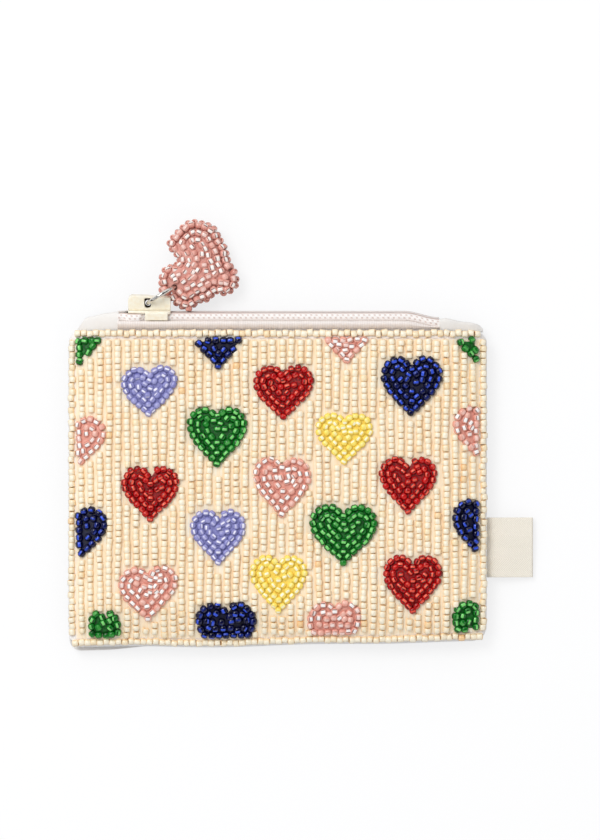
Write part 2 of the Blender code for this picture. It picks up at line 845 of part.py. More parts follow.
def make_charm(group, cutters, finish):
    """A puffed heart: rings of the outline shrink to its middle while its faces swell."""
    outline = charm_outline()
    middle = np.array([0, charm_length * (0.5 - heart_centre_share)])
    upper = np.array(charm_ring_shares)
    swells = (1 - upper**charm_fullness) ** (1 / charm_fullness) * charm_thick / 2
    order = np.concatenate([upper[:0:-1], upper])
    levels = np.concatenate([-swells[:0:-1], swells])
    flat = middle + (outline - middle) * order[:, None, None]
    heights = levels[:, None] + 0 * flat[..., 0]
    rings = np.concatenate([flat, heights[..., None]], axis=-1)
    ends = (*middle, -charm_thick / 2), (*middle, charm_thick / 2)
    charm = ring_solid("heart_charm", rings, *ends, group, finish)
    charm.matrix_world = charm_frame()
    channel = make_torus("ring_channel", wire_radius + channel_room, cutters)
    mark_cutter(channel)
    cut_with(charm, channel, "ring_channel")
    return charm


def charm_frame():
    """The near lobe's side lies at a set place from the eye, and the tip points to the right."""
    outline = charm_outline()
    side = outline[outline[:, 0].argmin()]
    turn = Matrix.Rotation(charm_turn + math.pi / 2, 4, "Z")
    place = Vector((eye_place.x + charm_side_x, eye_place.y + charm_side_y, 0))
    place -= turn @ Vector((*side, 0))
    place.z = charm_lift + charm_thick / 2
    return Matrix.Translation(place) @ turn


def make_tab(name, side, start, reach, rise, group, finish):
    """A wedge of folded cloth over one end of the zip, thinner and lower towards the seam."""
    low = cloth_top + tab_room
    outline = [
        (start, low),
        (start + side * reach, low),
        (start + side * reach * tab_slope_share, low + rise * tab_fall_share),
        (start, low + rise),
    ]
    half = (tab_high - tab_low) / 2
    middle = (tab_high + tab_low) / 2
    tab = flat_solid(name, [outline], half, Matrix.Translation((0, 0, middle)), group, finish)
    for vertex in tab.data.vertices:
        out = abs(vertex.co.x - start) / reach
        vertex.co.z *= 1 - tab_taper_share * out
    rounding = tab.modifiers.new("soft_edges", "BEVEL")
    rounding.width = tab_bevel
    rounding.segments = 1
    return tab


def make_label(group, finish):
    """A ribbon folded back on itself, its two ends at the side seam."""
    start = half_width + layer_gap
    turn = np.linspace(math.pi / 2, -math.pi / 2, label_arc_segments)
    x = np.concatenate([[start], start + label_reach + label_fold * np.cos(turn), [start]])
    z = np.concatenate([[label_fold], label_fold * np.sin(turn), [-label_fold]])
    z = seam_z + z - label_droop * smooth_step(x, start, start + label_reach)
    y = label_middle + label_width * np.array([-0.5, 0.5])
    points = np.stack(
        [
            np.stack([x, 0 * x + y[0], z], axis=-1),
            np.stack([x, 0 * x + y[1], z], axis=-1),
        ]
    )
    label = add_object("side_label", surface_mesh("side_label", points), group, finish)
    add_thickness(label, label_thick, 0)
    return label


def shade_round(piece):
    """Smooth shading on the round pieces, with their sharp edges kept."""
    piece.data.shade_smooth()
    piece.data.set_sharp_from_angle(angle=math.radians(40))


def main():
    clear_scene()
    group = make_collection("Beaded wallet")
    cutters = make_collection("Cutters")
    cutters.hide_render = True
    finish = {name: make_finish(name) for name in finishes}

    back_side, front_side = make_cloths(group, finish)
    field = make_bead_field(group, finish["ivory"])
    front_side += [field, *make_hearts(group, cutters, finish, field)]
    front_side += make_piping(group, finish["ivory"])

    front_side.append(make_tape("zip_tape_front", 1, front_hem, group, finish["tape"]))
    front_side.append(make_coil("zip_coil_front", 1, group, finish["coil"]))
    make_tape("zip_tape_back", -1, back_hem, group, finish["tape"])
    make_coil("zip_coil_back", -1, group, finish["coil"])
    left_start = chain_left - layer_gap
    right_start = chain_right + layer_gap
    make_tab("zip_tab_left", -1, left_start, left_tab_reach, left_tab_rise, group, finish["cotton"])
    make_tab("zip_tab_right", 1, right_start, right_tab_reach, right_tab_rise, group, finish["cotton"])
    make_label(group, finish["ribbon"])

    slider = [
        make_slider_body(group, cutters, finish["paint"]),
        make_crown(group, cutters, finish["paint"]),
        make_pawl(group, finish["steel"]),
    ]
    ring = make_torus("jump_ring", wire_radius, group, finish["steel"])
    charm = make_charm(group, cutters, finish["pink"])
    shade_round(ring)
    shade_round(charm)

    front_holder = make_holder("front_hinge", hinge_place, group)
    slider_holder = make_holder("slider_path", eye_place, group)
    ring_holder = make_holder("ring_pivot", eye_place, group)
    charm_holder = make_holder("charm_pivot", ring_place, group)
    for piece in front_side:
        hold(piece, front_holder)
    for piece in slider:
        hold(piece, slider_holder)
    hold(ring, ring_holder)
    hold(charm, charm_holder)
    hold(charm_holder, ring_holder)
    hold(ring_holder, slider_holder)

    print("hinge at", [round(c, 5) for c in hinge_place])
    print("eye at", [round(c, 5) for c in eye_place], "ring at", [round(c, 5) for c in ring_place])
    print("slider travel", round(slider_travel, 5))


main()
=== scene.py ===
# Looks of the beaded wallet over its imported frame: beads, cloths, zip, slider, ring, charm.
# X runs along the zip, Y up the front to the zip, Z is the thickness, all in metres.

import math

import bmesh
import bpy
import numpy as np
from mathutils import Matrix, Vector


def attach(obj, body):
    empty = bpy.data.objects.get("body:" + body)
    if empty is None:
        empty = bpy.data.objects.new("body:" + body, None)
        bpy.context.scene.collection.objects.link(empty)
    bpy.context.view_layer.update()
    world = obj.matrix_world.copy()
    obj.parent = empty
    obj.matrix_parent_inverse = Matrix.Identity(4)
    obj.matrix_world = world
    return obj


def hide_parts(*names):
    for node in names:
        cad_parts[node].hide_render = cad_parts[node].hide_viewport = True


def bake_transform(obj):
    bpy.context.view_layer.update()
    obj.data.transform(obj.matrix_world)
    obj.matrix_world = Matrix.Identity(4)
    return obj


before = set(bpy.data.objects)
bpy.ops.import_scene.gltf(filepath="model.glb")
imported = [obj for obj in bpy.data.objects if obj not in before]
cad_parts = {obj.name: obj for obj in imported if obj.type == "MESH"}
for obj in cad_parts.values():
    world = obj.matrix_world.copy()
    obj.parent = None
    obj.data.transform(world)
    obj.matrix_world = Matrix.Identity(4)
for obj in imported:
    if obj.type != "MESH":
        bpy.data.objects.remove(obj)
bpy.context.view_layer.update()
print("frame loaded:", len(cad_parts), "nodes")

mm = 0.001
chance = np.random.default_rng(11)


def linear(colour):
    # a colour as seen on screen, as the linear values that a shader takes
    return [((c + 0.055) / 1.055) ** 2.4 if c > 0.04045 else c / 12.92 for c in colour]


def smoothStep(value, start, end):
    # 0 up to start, 1 from end on, t * t * (3 - 2 t) between them
    t = np.clip((value - start) / (end - start), 0, 1)
    return t * t * (3 - 2 * t)


def unit(vectors):
    return vectors / np.linalg.norm(vectors, axis=-1, keepdims=True)


def stacked(*parts):
    # points from their coordinates, which are first spread to one shape
    return np.stack(np.broadcast_arrays(*parts), axis=-1)


def vary(value, spread, count):
    # value * (1 + a random number about 0), as many as count says
    return value * (1 + chance.normal(0, spread, count))


def spokes(side, up, angle):
    # directions at the angles round each line: side * cos a + up * sin a
    return side[:, None, :] * np.cos(angle)[:, None] + up[:, None, :] * np.sin(angle)[:, None]


def inSpace(ways):
    # directions in the flat as directions in space
    return np.pad(ways, ((0, 0), (0, 1)))


def onSurface(ways, up):
    # directions laid flat on a surface: way - up * (way . up)
    return ways - up * (ways * up).sum(axis=1, keepdims=True)


# Shader helpers


def addNode(tree, kind, **settings):
    node = tree.nodes.new(kind)
    for key, value in settings.items():
        if hasattr(node, key):
            setattr(node, key, value)
        else:
            node.inputs[key].default_value = value
    return node


def mathNode(tree, operation, first, second=None):
    # one Math node; each input is a number or another node's output
    node = tree.nodes.new("ShaderNodeMath")
    node.operation = operation
    for socket, value in zip(node.inputs, (first, second)):
        if isinstance(value, (int, float)):
            socket.default_value = value
        elif value is not None:
            tree.links.new(value, socket)
    return node.outputs[0]


def rampNode(tree, factor, stops):
    # a colour ramp; stops are (place, colour as seen on screen)
    node = tree.nodes.new("ShaderNodeValToRGB")
    ramp = node.color_ramp
    while len(ramp.elements) < len(stops):
        ramp.elements.new(0.5)
    for element, (place, colour) in zip(ramp.elements, stops):
        element.position = place
        element.color = (*linear(colour), 1)
    tree.links.new(factor, node.inputs["Fac"])
    return node.outputs["Color"]


def mixColours(tree, factor, first, second, blendType="MIX"):
    node = addNode(tree, "ShaderNodeMix", data_type="RGBA", blend_type=blendType)
    for socket, value in ((node.inputs[0], factor), (node.inputs[6], first), (node.inputs[7], second)):
        if isinstance(value, (int, float)):
            socket.default_value = value
        elif isinstance(value, (tuple, list)):
            socket.default_value = (*linear(value), 1)
        else:
            tree.links.new(value, socket)
    return node.outputs[2]


def noiseNode(tree, vector, scale, detail):
    node = addNode(tree, "ShaderNodeTexNoise", Scale=scale, Detail=detail)
    tree.links.new(vector, node.inputs["Vector"])
    return node.outputs["Fac"]


def splitNode(tree, vector):
    node = tree.nodes.new("ShaderNodeSeparateXYZ")
    tree.links.new(vector, node.inputs[0])
    return node.outputs[:]


def rangeNode(tree, value, fromMin, fromMax, toMin, toMax):
    node = addNode(tree, "ShaderNodeMapRange")
    for label, number in (("From Min", fromMin), ("From Max", fromMax), ("To Min", toMin), ("To Max", toMax)):
        node.inputs[label].default_value = number
    tree.links.new(value, node.inputs["Value"])
    return node.outputs["Result"]


def newFinish(name, colour, roughness, **more):
    # a Principled material; what is the same all over is set on the shader's own sockets, and more
    # names those beyond colour and roughness, with _ for each space
    finish = bpy.data.materials.new(name)
    finish.use_nodes = True
    shader = finish.node_tree.nodes["Principled BSDF"]
    shader.inputs["Base Color"].default_value = (*linear(colour), 1)
    shader.inputs["Roughness"].default_value = roughness
    for label, value in more.items():
        shader.inputs[label.replace("_", " ")].default_value = value
    return finish, finish.node_tree, shader


def paintShader(tree, shader, colour, height=None, depth=0.0, strength=1.0):
    # the colour that changes from place to place, and a bump where there is a height
    tree.links.new(colour, shader.inputs["Base Color"])
    if height is not None:
        bump = addNode(tree, "ShaderNodeBump", Strength=strength, Distance=depth)
        tree.links.new(height, bump.inputs["Height"])
        tree.links.new(bump.outputs["Normal"], shader.inputs["Normal"])


def newGroup(name, inputs, outputs):
    group = bpy.data.node_groups.new(name, "ShaderNodeTree")
    for label, kind, value in inputs:
        socket = group.interface.new_socket(label, in_out="INPUT", socket_type=kind)
        if value is not None:
            socket.default_value = value
    for label, kind in outputs:
        group.interface.new_socket(label, in_out="OUTPUT", socket_type=kind)
    return group, group.nodes.new("NodeGroupInput"), group.nodes.new("NodeGroupOutput")


def makeWeaveGroup():
    # plain weave: height = half + half of sin(warp) times sin(weft), and a slow stain
    group, entry, out = newGroup(
        "plainWeave",
        [("Coordinates", "NodeSocketVector", None), ("Threads", "NodeSocketFloat", 40.0)],
        [("Height", "NodeSocketFloat"), ("Stain", "NodeSocketFloat")],
    )
    waves = []
    for part in splitNode(group, entry.outputs["Coordinates"])[:2]:
        turns = mathNode(group, "MULTIPLY", part, entry.outputs["Threads"])
        waves.append(mathNode(group, "SINE", mathNode(group, "MULTIPLY", turns, math.tau)))
    both = mathNode(group, "MULTIPLY", waves[0], waves[1])
    height = mathNode(group, "ADD", mathNode(group, "MULTIPLY", both, 0.5), 0.5)
    stain = noiseNode(group, entry.outputs["Coordinates"], 6.0, 4.0)
    group.links.new(height, out.inputs["Height"])
    group.links.new(stain, out.inputs["Stain"])
    return group


weaveGroup = makeWeaveGroup()


def useWeave(tree, source, threads):
    node = tree.nodes.new("ShaderNodeGroup")
    node.node_tree = weaveGroup
    node.inputs["Threads"].default_value = threads
    tree.links.new(source, node.inputs["Coordinates"])
    return node.outputs["Height"], node.outputs["Stain"]


def readMark(tree, name):
    node = tree.nodes.new("ShaderNodeAttribute")
    node.attribute_name = name
    return node.outputs["Fac"]


def flatPlaces(tree):
    # the piece's own UV map, in decimetres of the flat cloth
    return addNode(tree, "ShaderNodeUVMap", uv_map="flat").outputs["UV"]


def objectNoise(tree, scale, detail=3.0):
    places = tree.nodes.new("ShaderNodeTexCoord").outputs["Object"]
    return noiseNode(tree, places, scale, detail)


# Finishes

white, grey, black = (1.0, 1.0, 1.0), (0.25, 0.25, 0.25), (0.0, 0.0, 0.0)

clothFinish = {
    # light thread, and the darker thread colour for stains and for painted shade in the weave's hollows;
    # threads in a decimetre
    "cottonCloth": ((0.975, 0.965, 0.95), (0.925, 0.91, 0.89), 320.0),
    "liningCloth": ((0.95, 0.91, 0.84), (0.90, 0.85, 0.77), 260.0),
    "charmFelt": ((0.92, 0.70, 0.65), (0.85, 0.60, 0.55), 200.0),
}


def makeCloth(name):
    light, shade, threads = clothFinish[name]
    finish, tree, shader = newFinish(name, light, 0.9, Sheen_Weight=0.15)
    height, stain = useWeave(tree, flatPlaces(tree), threads)
    # painted shade: the colour goes darker where the weave lies low
    low = mathNode(tree, "MULTIPLY", mathNode(tree, "SUBTRACT", 1.0, height), 0.25)
    colour = mixColours(tree, low, mixColours(tree, stain, light, shade), shade)
    paintShader(tree, shader, colour, height=height, depth=0.03 * mm)
    return finish


def makeBeadCloth():
    # the cloth under the beads: warm where thread tints it, with painted warm light bounced from the beads,
    # white along its edges
    values = {"warmThreadAndBounce": (1.0, 0.90, 0.75), "warmLight": (1.0, 0.97, 0.89), "edge": (0.98, 0.97, 0.96),
              "strands": (190.0, 14.0, 1.0)}
    finish, tree, shader = newFinish("beadCloth", values["warmThreadAndBounce"], 0.85)
    stretch = addNode(tree, "ShaderNodeMapping", vector_type="POINT", Scale=values["strands"])
    tree.links.new(flatPlaces(tree), stretch.inputs["Vector"])
    strands = noiseNode(tree, stretch.outputs["Vector"], 1.0, 3.0)
    # the warm colour is partly the thread's and partly painted light bounced from the beads
    warmThreadAndBounce = rampNode(tree, strands, [(0.35, values["warmThreadAndBounce"]), (0.66, values["warmLight"])])
    colour = mixColours(tree, readMark(tree, "beaded"), values["edge"], warmThreadAndBounce)
    paintShader(tree, shader, colour, height=strands, depth=0.05 * mm)
    return finish


def makeIvory():
    # pearly glass: painted light on the top, cream below it, painted amber shade on the flanks and painted
    # shade at the ends where beads meet; each bead has its own tone
    values = {
        # the top's light colour is painted light; the amber and the ends' darker colour are painted shade
        "light": (1.0, 0.96, 0.865),
        "cream": (1.0, 0.92, 0.775),
        "amberShade": (1.0, 0.87, 0.66),
        "ends": [(0.80, white), (1.0, (0.985, 0.89, 0.74))],
        "tones": [(0.0, (0.99, 0.86, 0.70)), (0.012, (0.99, 0.95, 0.88)), (0.12, (0.995, 0.98, 0.955)),
                  (0.6, white)],
    }
    coat = {"Coat_Weight": 0.3, "Coat_Roughness": 0.15}
    finish, tree, shader = newFinish("ivoryPearl", values["cream"], 0.3, **coat)
    # painted light and shade by the bead's bright side: amber shade low on the flanks, light on top
    stops = [(0.0, values["amberShade"]), (0.45, values["cream"]), (0.85, values["light"])]
    paintedFlankShade = rampNode(tree, readMark(tree, "top"), stops)
    # painted shade towards the bead's ends, where beads meet
    ends = rampNode(tree, readMark(tree, "end"), values["ends"])
    body = mixColours(tree, 1.0, paintedFlankShade, ends, "MULTIPLY")
    tone = rampNode(tree, readMark(tree, "tone"), values["tones"])
    paintShader(tree, shader, mixColours(tree, 1.0, body, tone, "MULTIPLY"))
    return finish


glassFinish = {
    # body, its painted shade at the flanks, the darker painted line beside the lining, the painted bright
    # reflection of the lining, where the lining begins (cosine from the bead's painted bright side),
    # roughness
    "red": ((0.78, 0.03, 0.05), (0.42, 0.0, 0.01), (0.22, 0.0, 0.01), (0.97, 0.40, 0.31), 0.95, 0.12),
    "green": ((0.05, 0.50, 0.13), (0.01, 0.28, 0.06), (0.01, 0.14, 0.04), (0.50, 0.86, 0.46), 0.94, 0.12),
    "navy": ((0.015, 0.03, 0.25), (0.01, 0.01, 0.11), (0.0, 0.0, 0.06), (0.21, 0.34, 0.86), 0.95, 0.10),
    "lavender": ((0.62, 0.62, 0.83), (0.51, 0.51, 0.75), (0.50, 0.50, 0.72), (0.96, 0.95, 1.0), 0.96, 0.2),
    "yellow": ((1.0, 0.92, 0.46), (1.0, 0.86, 0.34), (1.0, 0.86, 0.38), (1.0, 0.99, 0.86), 0.94, 0.2),
    "pink": ((0.95, 0.71, 0.64), (0.90, 0.61, 0.54), (0.55, 0.42, 0.40), (1.0, 0.985, 0.97), 0.90, 0.10),
    "rose": ((0.93, 0.70, 0.645), (0.85, 0.58, 0.525), (0.50, 0.36, 0.34), (1.0, 0.975, 0.95), 0.90, 0.10),
}


def makeGlass(name):
    # lined glass: painted shade at the flanks, and on top a painted bright reflection of the lining beside a
    # darker painted line
    body, flankShadeColour, line, paintedLiningGlint, begins, rough = glassFinish[name]
    coat = {"Specular_IOR_Level": 0.35, "Coat_Weight": 0.25, "Coat_Roughness": 0.06}
    finish, tree, shader = newFinish(name + "Glass", body, rough, **coat)
    top = readMark(tree, "top")
    # painted shade on the flanks
    paintedFlankShade = rampNode(tree, top, [(0.0, flankShadeColour), (0.8, body)])
    # up the bead: painted shade, body, a darker painted line, and the painted bright reflection of the lining
    stops = [(0.0, flankShadeColour), (0.65, body), (begins - 0.14, line), (begins - 0.07, line), (begins, paintedLiningGlint)]
    shadeAndGlint = rampNode(tree, top, stops)
    # the painted reflection of the lining shows between the bead's ends, and in some beads more than in
    # others
    inner = rampNode(tree, readMark(tree, "end"), [(0.52, white), (0.78, black)])
    lined = rampNode(tree, readMark(tree, "tone"), [(0.0, grey), (0.45, white)])
    share = mixColours(tree, 1.0, inner, lined, "MULTIPLY")
    paintShader(tree, shader, mixColours(tree, share, paintedFlankShade, shadeAndGlint))
    return finish


def makeGround(name):
    # the threads and bead flanks between a heart's rows, from the beads' painted flank shade to their body
    # colour: painted shade between the rows
    body, flankShadeColour = glassFinish[name][:2]
    finish, tree, shader = newFinish(name + "Ground", flankShadeColour, 0.5)
    strands = objectNoise(tree, 1600.0)
    colour = rampNode(tree, strands, [(0.35, flankShadeColour), (0.7, body)])
    paintShader(tree, shader, colour, height=strands, depth=0.1 * mm)
    return finish


def ribWave(tree, value, perUnit):
    # half + half of sin(value * perUnit * tau)
    wave = mathNode(tree, "SINE", mathNode(tree, "MULTIPLY", value, perUnit * math.tau))
    return mathNode(tree, "ADD", mathNode(tree, "MULTIPLY", wave, 0.5), 0.5)


def makeTape():
    # zip tape: fine ribs across it, pinkish white, with painted shade in the grooves between the ribs
    values = {"light": (0.97, 0.94, 0.92), "shade": (0.925, 0.885, 0.86), "ribs": 200.0, "wear": 60.0}
    finish, tree, shader = newFinish("zipTape", values["light"], 0.8)
    flat = flatPlaces(tree)
    rib = ribWave(tree, splitNode(tree, flat)[0], values["ribs"])
    wear = noiseNode(tree, flat, values["wear"], 3.0)
    worn = mathNode(tree, "MULTIPLY", rib, wear)
    # darker as painted shade in the rib grooves, and where the tape is worn
    colour = rampNode(tree, worn, [(0.05, values["shade"]), (0.45, values["light"])])
    paintShader(tree, shader, colour, height=rib, depth=0.03 * mm)
    return finish


def bandMask(tree, value, middle, half):
    # 1 where the value is within the half width of the middle, and 0 outside, with a soft edge
    off = mathNode(tree, "ABSOLUTE", mathNode(tree, "SUBTRACT", value, middle))
    return rangeNode(tree, off, half * 0.6, half * 1.3, 1.0, 0.0)


def makeChainCover():
    # the chain's sewn edge: two rows of brown stitches and a brown-pink line on near-white
    values = {"light": (0.99, 0.97, 0.955), "stitch": (0.78, 0.65, 0.59), "line": (0.84, 0.69, 0.63),
              "stitchShare": 0.55, "lineShare": 0.85, "pitch": 66.0, "slant": 0.25, "dash": 0.36,
              "rows": (0.0132, 0.0217), "rowHalf": 0.0026, "lineMiddle": 0.0325, "lineHalf": 0.0035}
    finish, tree, shader = newFinish("chainCover", values["light"], 0.7)
    along, across = splitNode(tree, flatPlaces(tree))[:2]
    slanted = mathNode(tree, "ADD", along, mathNode(tree, "MULTIPLY", across, values["slant"]))
    wave = ribWave(tree, slanted, values["pitch"])
    dashes = [bandMask(tree, wave, middle, values["dash"]) for middle in (1.0, 0.0)]
    rows = [bandMask(tree, across, middle, values["rowHalf"]) for middle in values["rows"]]
    first, second = [mathNode(tree, "MULTIPLY", row, dash) for row, dash in zip(rows, dashes)]
    stitched = mathNode(tree, "MAXIMUM", first, second)
    share = mathNode(tree, "MULTIPLY", stitched, values["stitchShare"])
    colour = mixColours(tree, share, values["light"], values["stitch"])
    line = bandMask(tree, across, values["lineMiddle"], values["lineHalf"])
    colour = mixColours(tree, mathNode(tree, "MULTIPLY", line, values["lineShare"]), colour, values["line"])
    paintShader(tree, shader, colour, height=mathNode(tree, "SUBTRACT", 1.0, stitched), depth=0.06 * mm)
    return finish


def makeRibbon():
    # woven ribbon: chevrons of fine diagonal threads, in bands along its length, with painted shade between
    # the threads
    values = {"light": (0.985, 0.965, 0.915), "shade": (0.935, 0.895, 0.82), "threads": 150.0, "bands": 30.0,
              "chevron": 0.045}
    finish, tree, shader = newFinish("wovenRibbon", values["light"], 0.55, Sheen_Weight=0.2)
    along, across = splitNode(tree, flatPlaces(tree))[:2]
    bands = mathNode(tree, "MULTIPLY", across, values["bands"])
    slant = mathNode(tree, "MULTIPLY", mathNode(tree, "PINGPONG", bands, 1.0), values["chevron"])
    rib = ribWave(tree, mathNode(tree, "ADD", along, slant), values["threads"])
    # painted shade: darker in the grooves between the threads
    colour = rampNode(tree, rib, [(0.0, values["shade"]), (0.7, values["light"])])
    paintShader(tree, shader, colour, height=rib, depth=0.06 * mm)
    return finish


def makePaint():
    # cream lacquer on cast metal: slow unevenness in colour and gloss
    values = {"light": (1.0, 0.975, 0.90), "shade": (0.99, 0.945, 0.84)}
    coat = {"Coat_Weight": 0.4, "Coat_Roughness": 0.1}
    finish, tree, shader = newFinish("creamLacquer", values["light"], 0.32, **coat)
    uneven = objectNoise(tree, 900.0, 4.0)
    colour = rampNode(tree, uneven, [(0.3, values["shade"]), (0.62, values["light"])])
    paintShader(tree, shader, colour, height=uneven, depth=0.03 * mm, strength=0.6)
    return finish


metalFinish = {
    # colour, roughness, scale of its scratches
    "brightSteel": ((0.86, 0.85, 0.83), 0.12, 1500.0),
    # this dark steel stands for the shade in the slider's eye: painted shade
    "eyeShadeSteel": ((0.20, 0.15, 0.12), 0.35, 1500.0),
}


def makeMetal(name):
    colour, roughness, scratch = metalFinish[name]
    finish, tree, shader = newFinish(name, colour, roughness, Metallic=1.0)
    worn = rangeNode(tree, objectNoise(tree, scratch), 0.3, 0.7, roughness * 0.6, roughness * 1.6)
    tree.links.new(worn, shader.inputs["Roughness"])
    return finish


def makeNylon():
    # the coils' wire and the sewing thread
    values = {"light": (0.96, 0.93, 0.91), "shade": (0.90, 0.84, 0.81)}
    finish, tree, shader = newFinish("coilNylon", values["light"], 0.45)
    colour = mixColours(tree, objectNoise(tree, 700.0, 2.0), values["light"], values["shade"])
    paintShader(tree, shader, colour)
    return finish


cotton, liningCotton, padFelt = [makeCloth(name) for name in clothFinish]
steel, eyeShadeSteel = [makeMetal(name) for name in metalFinish]
beadCloth = makeBeadCloth()
ivory = makeIvory()
glass = {name: makeGlass(name) for name in glassFinish}
ground = {name: makeGround(name) for name in glassFinish}
tapeCloth = makeTape()
chainCover = makeChainCover()
ribbonCloth = makeRibbon()
lacquer = makePaint()
nylon = makeNylon()
print("finishes made")

# Meshes from arrays


def gridFaces(rows, columns, wrapRows=False, wrapColumns=False):
    # quads of a grid of points, counted row by row; a wrap joins the last line to the first
    r, c = np.meshgrid(
        np.arange(rows if wrapRows else rows - 1),
        np.arange(columns if wrapColumns else columns - 1),
        indexing="ij",
    )
    nextRow, nextColumn = (r + 1) % rows, (c + 1) % columns
    here, there = r * columns, nextRow * columns
    return stacked(here + c, here + nextColumn, there + nextColumn, there + c).reshape(-1, 4)


def linkObject(name, data):
    piece = bpy.data.objects.new(name, data)
    bpy.context.scene.collection.objects.link(piece)
    return piece


def makePiece(name, points, faces, finish, marks=None, flat=None):
    # one object at the origin; marks are values per point, flat the point's place on the cloth
    mesh = bpy.data.meshes.new(name)
    mesh.from_pydata(np.reshape(points, (-1, 3)).tolist(), [], [f for part in faces for f in part.tolist()])
    if finish:
        mesh.materials.append(finish)
    for label, values in (marks or {}).items():
        mark = mesh.attributes.new(label, "FLOAT", "POINT")
        mark.data.foreach_set("value", np.ravel(values).astype(np.float32))
    if flat is not None:
        corner = np.zeros(len(mesh.loops), np.int32)
        mesh.loops.foreach_get("vertex_index", corner)
        layer = mesh.uv_layers.new(name="flat")
        places = np.reshape(flat, (-1, 2))[corner] / 0.1
        layer.data.foreach_set("uv", places.astype(np.float32).ravel())
    mesh.polygons.foreach_set("use_smooth", np.ones(len(mesh.polygons), bool))
    mesh.update()
    return linkObject(name, mesh)


def gridPiece(name, points, finish, flat, marks=None):
    # an open sheet from a grid of points
    return makePiece(name, points, [gridFaces(*points.shape[:2])], finish, marks, flat)


def closedForm(name, rings, finish, flat=None):
    # rings of points from one end to the other, each closed, with a fan to a pole at both ends
    count, around = rings.shape[:2]
    points = np.concatenate([rings.reshape(-1, 3), [rings[0].mean(axis=0), rings[-1].mean(axis=0)]])
    here = np.arange(around)
    after = (here + 1) % around
    last = (count - 1) * around
    pole = count * around
    fans = [stacked(pole, after, here), stacked(pole + 1, last + here, last + after)]
    faces = [gridFaces(count, around, wrapColumns=True), *fans]
    piece = makePiece(name, points, faces, finish, flat=points[:, :2] if flat is None else flat)
    faceOut(piece)
    return piece


def editMesh(mesh, work):
    cage = bmesh.new()
    cage.from_mesh(mesh)
    work(cage)
    cage.to_mesh(mesh)
    cage.free()


def faceOut(piece):
    editMesh(piece.data, lambda cage: bmesh.ops.recalc_face_normals(cage, faces=cage.faces))


def closeEnds(piece):
    # a face over each open end
    def work(cage):
        bmesh.ops.holes_fill(cage, edges=[e for e in cage.edges if e.is_boundary], sides=8)
        bmesh.ops.recalc_face_normals(cage, faces=cage.faces)
        for face in cage.faces:
            face.smooth = True

    editMesh(piece.data, work)


def addBevel(piece, width, segments, angle):
    edge = piece.modifiers.new("rounding", "BEVEL")
    edge.width = width
    edge.segments = segments
    edge.limit_method = "ANGLE"
    edge.angle_limit = math.radians(angle)


def thicken(piece, thickness, offset, rounding=0.0):
    # Solidify turns a sheet into cloth of its thickness, and a bevel rounds its cut edges
    solid = piece.modifiers.new("thickness", "SOLIDIFY")
    solid.thickness = thickness
    solid.offset = offset
    if rounding:
        addBevel(piece, rounding, 2, 50)


def finishedMesh(piece):
    # the piece's mesh as its modifiers or its curve's own settings make it
    graph = bpy.context.evaluated_depsgraph_get()
    return bpy.data.meshes.new_from_object(piece.evaluated_get(graph))


def applyModifiers(piece):
    old, mesh = piece.data, finishedMesh(piece)
    piece.modifiers.clear()
    piece.data = mesh
    bpy.data.meshes.remove(old)


def tubePoints(path, radius, sides):
    # a round tube: ring of points square to the path at each of its points
    way = unit(np.gradient(path, axis=0))
    lead = np.where(np.abs(way[:, 2:3]) > 0.9, np.array([[1.0, 0, 0]]), np.array([[0, 0, 1.0]]))
    side = unit(np.cross(way, lead))
    up = np.cross(side, way)
    angle = np.arange(sides) * math.tau / sides
    return path[:, None, :] + radius * spokes(side, up, angle)


def makeThread(name, path, radius):
    # a six-sided tube of nylon along a path, closed at both ends
    faces = gridFaces(len(path), 6, wrapColumns=True)
    piece = makePiece(name, tubePoints(path, radius, 6), [faces], nylon)
    closeEnds(piece)
    return piece


def lengthAlong(points):
    # how far each point of a line is from its first one, along the line
    return np.concatenate([[0], np.cumsum(np.linalg.norm(np.diff(points, axis=0), axis=-1))])


# Panel: the pillow's surface, which all the cloths and beads follow

panel = {
    "halfWidth": 60 * mm,
    "halfHeight": 45.5 * mm,
    "corner": 3.5 * mm,
    "fall": 14 * mm,  # band in which the pillow falls to its seam
    "lift": 0.85 * mm,  # how far the seamed edges rise off the table
    "floor": 1.5 * mm,
    "gap": 0.3 * mm,
    "depth": 5.0 * mm,
    "clothTop": 45.1 * mm,
    "bottomRise": 1.5 * mm,  # how much higher the bottom edge is on the right
    "nap": 0.85 * mm,  # how far cloth and thread rise between the beads
    "backPeek": 1.3 * mm,  # how far the back stands out below the front, at the left
    "backTuck": 1.1 * mm,  # how much less it does farther right
    "beadLevel": 1.7 * mm,  # the beads lie this far above the lining's underside
    "clothThick": 0.9 * mm,
    "liningThick": 0.5 * mm,
    "liningTop": 41.6 * mm,
    "liningInset": 1.2 * mm,
    "seamBand": 1.8 * mm,  # band along the side and bottom edges in which the cloths turn inwards
    "beadedHalf": 57.9 * mm,  # how far the beads reach to the sides and up, and where they start
    "beadedTop": 43.1 * mm,
    "beadedLow": (2.0 * mm, 2.8 * mm),
    "beadedFade": 0.6 * mm,
}


def fullness(x, y):
    # sin of the share of the band to the nearest side, times the same to the bottom
    fromSide = np.clip((panel["halfWidth"] - np.abs(x)) / panel["fall"], 0, 1)
    fromBottom = np.clip((y + panel["halfHeight"]) / panel["fall"], 0, 1)
    return np.sin(fromSide * math.pi / 2) * np.sin(fromBottom * math.pi / 2)


def backHeight(x, y):
    return panel["lift"] * (1 - fullness(x, y))


def frontHeight(x, y):
    # underside of the front lining: back, floor and gap, and the pillow's fullness above them
    pillow = (panel["depth"] - panel["gap"]) * fullness(x, y)
    return backHeight(x, y) + panel["floor"] + panel["gap"] + pillow


